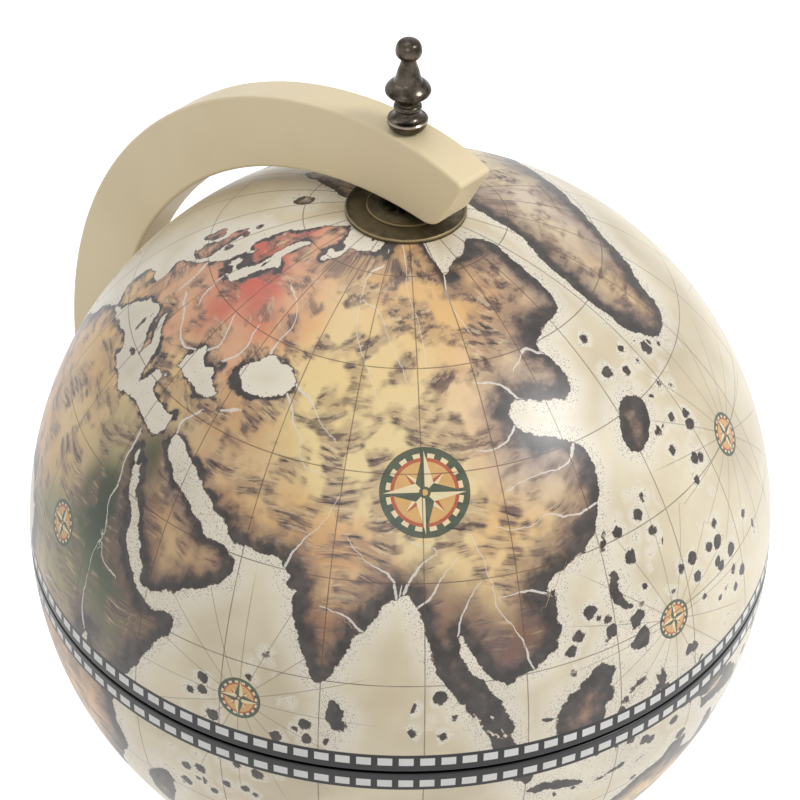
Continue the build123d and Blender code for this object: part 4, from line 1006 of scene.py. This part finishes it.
def half_sphere(radius, fineness, rim, bore, side):
    """Open half sphere about the globe's centre: cut at its rim, with a round hole at its pole."""
    shell = bmesh.new()
    bmesh.ops.create_icosphere(shell, subdivisions=fineness, radius=radius)
    geometry = shell.verts[:] + shell.edges[:] + shell.faces[:]
    cut = {"plane_co": (0, 0, side * rim), "plane_no": (0, 0, side), "clear_inner": True}
    bmesh.ops.bisect_plane(shell, geom=geometry, dist=CUT_MERGE, **cut)
    near_axis = [v for v in shell.verts if v.co.xy.length < bore]
    bmesh.ops.delete(shell, geom=near_axis, context="VERTS")
    for vertex in {v for edge in open_edges(shell, radius, at_pole=True) for v in edge.verts}:
        flat = vertex.co.xy.normalized() * bore
        vertex.co = (flat.x, flat.y, side * math.sqrt(radius**2 - bore**2))
    return shell


def open_edges(shell, radius, at_pole):
    """Boundary edges round the hole at the pole, or else round the equator."""
    return [e for e in shell.edges if e.is_boundary and (abs(e.verts[0].co.z) > radius / 2) == at_pole]


def round_rim(shell, radius, side, rounding):
    """Rolls the outer skin's edge inwards, down to the seam."""
    reached = pulled = 0.0
    for step in range(1, ROUNDING_STEPS + 1):
        angle = step / ROUNDING_STEPS * math.pi / 2
        edges = open_edges(shell, radius, at_pole=False)
        grown = bmesh.ops.extrude_edge_only(shell, edges=edges)["geom"]
        drop = rounding * math.sin(angle) - reached
        inward = rounding * (1 - math.cos(angle)) - pulled
        reached += drop
        pulled += inward
        for vertex in (v for v in grown if isinstance(v, bmesh.types.BMVert)):
            flat = vertex.co.xy * (1 - inward / vertex.co.xy.length)
            vertex.co = (flat.x, flat.y, vertex.co.z - side * drop)


def hemisphere(name, node, body, side, bore, materials):
    """One half of the globe: a printed outer skin, a lining, a rounded rim and a hole at the pole."""
    settings = bpy.context.scene.globe_bar_map
    half_gap = seam_gap / 2
    shape = half_sphere(globe_radius, SKIN_FINENESS, half_gap + settings.rim_round, bore, side)
    round_rim(shape, globe_radius, side, settings.rim_round)
    lining = half_sphere(globe_radius - settings.shell_wall, LINING_FINENESS, half_gap, bore, side)
    bmesh.ops.reverse_faces(lining, faces=lining.faces[:])
    for face in lining.faces:
        face.material_index = 1
    lining_mesh = bpy.data.meshes.new(name + "_lining")
    lining.to_mesh(lining_mesh)
    lining.free()
    shape.from_mesh(lining_mesh)
    bpy.data.meshes.remove(lining_mesh)
    for at_pole in (False, True):
        bmesh.ops.bridge_loops(shape, edges=open_edges(shape, globe_radius, at_pole))
    bmesh.ops.translate(shape, verts=shape.verts[:], vec=(0, 0, equator_z))
    piece = finished(name, shape, materials)
    piece.data.polygons.foreach_set("use_smooth", [True] * len(piece.data.polygons))
    print_map(piece.data)
    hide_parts(node)
    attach(piece, body)


class GLOBEBAR_OT_hemispheres(bpy.types.Operator):
    """Builds both halves of the globe with their printed map and lining"""

    bl_idname = "globebar.hemispheres"
    bl_label = "Printed Hemispheres"

    def execute(self, context):
        """Builds the two halves."""
        scene = context.scene
        materials = (map_finish(scene.globe_bar_map), lining_finish(scene.globe_bar_finishes.lining))
        hemisphere("upper_half_printed", "upper_hemisphere", "upper_globe", 1, north_bore, materials)
        hemisphere("lower_half_printed", "lower_hemisphere", "lower_globe", -1, south_bore, materials)
        return {"FINISHED"}


# ---------------------------------------------------------------- finishes of the CAD nodes

SHADE_REACH = 0.012  # metres, within which a facing surface darkens the paint with painted shade
RUBBED_AND_LIT_EDGE = (0.7, 0.25)  # mm from a rim, where it is brightened, partly as rubbed wear and partly as a painted highlight
BRIGHTEST = 0.6  # of rubbed metal with its painted highlight
RIM_MATCH = 0.05 * MM  # within which corners count as on the widest rim


def cream_paint(name, colour, painted_shade):
    """Satin paint, slightly uneven, with painted shade that darkens it where other surfaces are near, in
    hollows and between parts.
    """
    finish = Finish(name)
    place = finish.millimetres()
    clouds = finish.step(finish.noise(place, 45, 4), 0.35, 0.7)
    paint = finish.over(colour, toned(colour, 0.93), clouds, 0.5)
    specks = finish.step(finish.noise(place, 1.1, 2, 0.6), 0.68, 0.8)
    paint = finish.over(paint, linear(150, 130, 95), specks, 0.10)
    occlusion = finish.add("AmbientOcclusion", {"Distance": SHADE_REACH}, samples=8).outputs["AO"]
    # painted shade: ambient occlusion darkens the paint towards brown in hollows, under things and between
    # parts
    paint = finish.over(paint, linear(120, 96, 62), finish.step(occlusion, 0.85, 0.25), painted_shade)
    return finish.surface(
        Base_Color=paint,
        Roughness=finish.scale_to(clouds, 0.38, 0.48),
        Coat_Weight=0.12,
        Coat_Roughness=0.3,
        Normal=finish.bump(finish.noise(place, 1.6), 0.00006, 0.5),
    )


def widest(node):
    """Radius and height in millimetres of a turned node's widest rim."""
    corners = [v.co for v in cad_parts[node].data.vertices]
    radius = max(c.xy.length for c in corners)
    return radius / MM, max(c.z for c in corners if c.xy.length > radius - RIM_MATCH) / MM


def aged_metal(name, colour, dark, roughness, mottle, metallic=1.0, rubbed_and_lit_rims=()):
    """Old metal: darker patches, pits, fine turning marks, and the rims of some nodes brightened, partly as
    rubbed wear and partly as a painted highlight.
    """
    finish = Finish(name)
    place = finish.millimetres()
    x, y, z = finish.split(place)
    patches = finish.step(finish.noise(place, mottle, 4, 0.55), 0.32, 0.70)
    pits = finish.step(finish.noise(place, 0.9, 3, 0.6), 0.60, 0.76)
    metal = finish.over(finish.mix(patches, colour, dark), toned(dark, 0.4), pits, 0.45)
    off_axis = finish.length(x, y)
    # rims made brighter: partly rubbed wear, partly a painted highlight
    rub_and_highlight = [min(BRIGHTEST, c) for c in toned(colour, 3.2)]
    for radius, height in map(widest, rubbed_and_lit_rims):
        off_rim = finish.length(finish.less(off_axis, radius), finish.less(z, height))
        metal = finish.over(metal, rub_and_highlight, finish.step(off_rim, *RUBBED_AND_LIT_EDGE), 0.75)
    turned = finish.noise(finish.join(finish.plus(off_axis, z)), 0.35)
    return finish.surface(
        Base_Color=metal,
        Metallic=metallic,
        Roughness=finish.scale_to(patches, roughness, roughness + 0.12),
        Normal=finish.bump(turned, 0.00004, 0.5),
    )


def bar_wood(colour):
    """Stained boards with straight grain along X, under satin varnish."""
    finish = Finish("bar_wood")
    x, y, z = finish.split(finish.millimetres())
    sway = finish.times(finish.noise(finish.join(finish.times(x, 0.02), y), 40), 26.0)
    grain = finish.join(finish.times(x, 0.04), finish.plus(y, sway), z)
    figure = finish.step(finish.noise(grain, 5.5, 6, 0.65), 0.3, 0.7)
    pores = finish.step(finish.noise(grain, 0.9, 3, 0.6), 0.58, 0.72)
    wood = finish.mix(figure, toned(colour, 0.55), toned(colour, 1.35))
    return finish.surface(
        Base_Color=finish.over(wood, toned(colour, 0.28), pores, 0.6),
        Roughness=finish.scale_to(figure, 0.32, 0.42),
        Coat_Weight=0.3,
        Coat_Roughness=0.2,
        Normal=finish.bump(pores, 0.0001, -0.5),
    )


def black_lacquer():
    """Black satin lacquer with faint dust and a few rubs."""
    finish = Finish("collar_black")
    place = finish.millimetres()
    rubs = finish.step(finish.noise(place, 12, 6, 0.7), 0.6, 0.8)
    return finish.surface(
        Base_Color=finish.over(linear(30, 27, 25), linear(62, 55, 50), rubs, 0.5),
        Roughness=finish.scale_to(rubs, 0.34, 0.5),
        Normal=finish.bump(finish.noise(place, 1.4), 0.00005, 0.5),
    )


def nylon():
    """Natural nylon, milky and smooth."""
    finish = Finish("thrust_nylon")
    clouds = finish.noise(finish.millimetres(), 6, 3)
    milk = finish.mix(clouds, linear(222, 218, 206), linear(206, 200, 184))
    return finish.surface(Base_Color=milk, Roughness=0.4, Subsurface_Weight=0.1, Subsurface_Scale=0.002)


def felt():
    """Green wool felt with matted fibres."""
    finish = Finish("felt_green")
    place = finish.millimetres()
    fibres = finish.noise(place, 0.7, 5, 0.7, 1.5)
    wool = finish.mix(fibres, linear(30, 62, 40), linear(66, 104, 72))
    return finish.surface(
        Base_Color=finish.over(wool, linear(24, 50, 34), finish.noise(place, 5, 3), 0.4),
        Roughness=0.95,
        Sheen_Weight=0.35,
        Sheen_Roughness=0.6,
        Normal=finish.bump(fibres, 0.0004, 0.8),
    )


class GLOBEBAR_OT_painted_wood(bpy.types.Operator):
    """Paints the arm, the pedestal and the base"""

    bl_idname = "globebar.painted_wood"
    bl_label = "Painted Arm and Stand"

    def execute(self, context):
        """Paints the arm with a little painted shade, and the turned stand with more painted shade in its
        hollows.
        """
        cream = context.scene.globe_bar_finishes.cream
        dress(cream_paint("arm_paint", cream, 0.1), "upper_arm", "lower_arm")
        dress(cream_paint("base_wood", cream, 0.6), "pedestal", "base_plate")
        dress(felt(), "base_felt")
        return {"FINISHED"}


class GLOBEBAR_OT_metalwork(bpy.types.Operator):
    """Gives the pole fittings, finial, hinge and fasteners their metal"""

    bl_idname = "globebar.metalwork"
    bl_label = "Metal Fittings"

    def execute(self, context):
        """Dresses every metal node, and the nylon washer between them."""
        colours = context.scene.globe_bar_finishes
        rims = ("pole_disc", "pole_boss")
        bronze = aged_metal("aged_bronze", colours.bronze, linear(66, 58, 40), 0.4, 6.0, 0.6, rims)
        dress(bronze, *rims, "south_disc", "south_boss", "inner_boss", "inner_hub", "cap_nut", "ring_nut")
        rims = ("finial_bell",)
        pewter = aged_metal("finial_pewter", colours.pewter, linear(42, 37, 32), 0.2, 5.0, 1.0, rims)
        dress(pewter, *rims, "finial_urn")
        black = aged_metal("blackened_steel", linear(60, 56, 52), linear(30, 28, 26), 0.42, 3.0)
        dress(black, "toothed_washer", "pole_nut")
        steel = aged_metal("plain_steel", linear(186, 184, 180), linear(140, 138, 134), 0.3, 5.0)
        dress(steel, "pedestal_bolt", "pedestal_washer", "arm_insert", "spindle", "end_washer", "end_nut")
        dress(steel, "pole_rod", "hinge_screws_upper", "hinge_screws_lower")
        brass = aged_metal("hinge_brass", linear(178, 154, 106), linear(122, 98, 60), 0.3, 5.0)
        dress(brass, "hinge_leaf_upper", "hinge_leaf_lower", "hinge_pin", "arm_bush", "south_bush")
        dress(nylon(), "thrust_washer")
        return {"FINISHED"}


class GLOBEBAR_OT_bar(bpy.types.Operator):
    """Stains the boards of the bar and lacquers its collar"""

    bl_idname = "globebar.bar"
    bl_label = "Bar Fittings"

    def execute(self, context):
        """Dresses the nodes inside the lower half."""
        wood = bar_wood(context.scene.globe_bar_finishes.mahogany)
        dress(wood, "bar_tray", "glass_shelf", "tray_cleats", "shelf_cleats", "bottle_rest")
        dress(black_lacquer(), "rim_collar")
        return {"FINISHED"}


# ---------------------------------------------------------------- stage

FLOOR_GLOW = 0.62  # added where the floor is seen, so that it reads as white
ROOM_LIGHT = 0.5  # strength of the white room as a light, where 1 is white
SENSOR_WIDTH = 36

# each lamp's direction from the globe, distance and side in metres, and power in watts
LAMPS = {
    "key": ((0.279, -0.643, 0.713), 2.4, 0.6, 23.5),
    "fill": ((-0.9, -0.5, 0.6), 3.0, 1.3, 9.5),
    "top": ((0.1, 0.5, 1.0), 3.0, 2.0, 15),
}


def seen_directly(finish):
    """1 for rays that show a surface to the eye, straight or by a reflection or through glass."""
    light = finish.add("LightPath").outputs
    seen = finish.math("MAXIMUM", light["Is Camera Ray"], light["Is Glossy Ray"])
    return finish.math("MAXIMUM", seen, light["Is Transmission Ray"])


def floor_finish():
    """Pale floor that reads as white where it is lit and keeps the object's shadow."""
    finish = Finish("floor")
    shader = finish.add("BsdfDiffuse", {"Color": opaque(linear(236, 236, 236))})
    lift = finish.add("Emission", {"Strength": finish.times(seen_directly(finish), FLOOR_GLOW)})
    both = finish.add("AddShader", {0: shader.outputs[0], 1: lift.outputs[0]})
    finish.add("OutputMaterial", {"Surface": both.outputs[0]})
    return finish.owner


def surroundings():
    """White room: white to the eye, softer as a light."""
    finish = Finish("studio", "worlds")
    strength = finish.scale_to(seen_directly(finish), ROOM_LIGHT, 1.0)
    back = finish.add("Background", {"Color": opaque((1, 1, 1)), "Strength": strength})
    finish.add("OutputWorld", {"Surface": back.outputs[0]})
    bpy.context.scene.world = finish.owner


def place_holder(name, data, place, turn):
    """A lamp or camera in the scene, set by its distance from the globe's centre and its turn."""
    holder = bpy.data.objects.new(name, data)
    holder.location = Vector((0, 0, equator_z)) + place
    holder.rotation_mode = "QUATERNION"
    holder.rotation_quaternion = turn
    bpy.context.scene.collection.objects.link(holder)
    return holder


def softbox(name, towards, distance, width, power):
    """Square lamp that faces the globe from a direction."""
    lamp = bpy.data.lights.new(name, "AREA")
    lamp.shape = "SQUARE"
    lamp.size = width
    lamp.energy = power
    direction = Vector(towards).normalized()
    place_holder(name, lamp, direction * distance, direction.to_track_quat("Z", "Y"))


def place_camera(settings):
    """Camera that looks down on the globe, with a long lens."""
    data = bpy.data.cameras.new("camera")
    data.lens = settings.camera_lens
    data.sensor_width = SENSOR_WIDTH
    azimuth, above = settings.camera_azimuth, settings.camera_elevation
    level = math.cos(above)
    back = Vector((math.sin(azimuth) * level, -math.cos(azimuth) * level, math.sin(above)))
    turn = (-back).to_track_quat("-Z", "Y")
    turn = turn @ Quaternion((0, 1, 0), settings.camera_pan)
    turn = turn @ Quaternion((1, 0, 0), settings.camera_tilt)
    turn = turn @ Quaternion((0, 0, 1), settings.camera_roll)
    camera = place_holder("camera", data, back * settings.camera_distance, turn)
    bpy.context.scene.camera = camera


class GLOBEBAR_OT_stage(bpy.types.Operator):
    """Sets the pale floor, soft lamps, white room and camera"""

    bl_idname = "globebar.stage"
    bl_label = "Stage and Camera"

    def execute(self, context):
        """Builds the stage."""
        settings = context.scene.globe_bar_stage
        plane = bmesh.new()
        bmesh.ops.create_grid(plane, x_segments=1, y_segments=1, size=settings.floor_size / 2)
        floor = finished("floor", plane, [floor_finish()])
        surroundings()
        for name, lamp in LAMPS.items():
            softbox(name, *lamp)
        place_camera(settings)
        context.scene.view_settings.view_transform = "Standard"
        return {"FINISHED"}


# ---------------------------------------------------------------- panel and registration

OPERATORS = (
    GLOBEBAR_OT_painted_wood,
    GLOBEBAR_OT_metalwork,
    GLOBEBAR_OT_bar,
    GLOBEBAR_OT_hemispheres,
    GLOBEBAR_OT_stage,
)


class GLOBEBAR_PT_panel(bpy.types.Panel):
    """Lists the steps that dress the globe bar"""

    bl_idname = "GLOBEBAR_PT_panel"
    bl_label = "Globe Bar"
    bl_space_type = "VIEW_3D"
    bl_region_type = "UI"
    bl_category = "Globe Bar"

    def draw(self, context):
        """Draws one button for each step."""
        for operator in OPERATORS:
            self.layout.operator(operator.bl_idname)


SETTINGS = {
    "globe_bar_map": GlobeBarMap,
    "globe_bar_finishes": GlobeBarFinishes,
    "globe_bar_stage": GlobeBarStage,
}
CLASSES = (*SETTINGS.values(), *OPERATORS, GLOBEBAR_PT_panel)


def register():
    """Registers the classes and hangs the settings on the scene."""
    for item in CLASSES:
        bpy.utils.register_class(item)
    for name, group in SETTINGS.items():
        setattr(bpy.types.Scene, name, PointerProperty(type=group))


def unregister():
    """Takes the settings and the classes away again."""
    for name in SETTINGS:
        delattr(bpy.types.Scene, name)
    for item in reversed(CLASSES):
        bpy.utils.unregister_class(item)


def main():
    """Registers and dresses the globe bar step by step."""
    register()
    bpy.ops.globebar.painted_wood()
    bpy.ops.globebar.metalwork()
    bpy.ops.globebar.bar()
    bpy.ops.globebar.hemispheres()
    bpy.ops.globebar.stage()


if __name__ == "__main__":
    main()
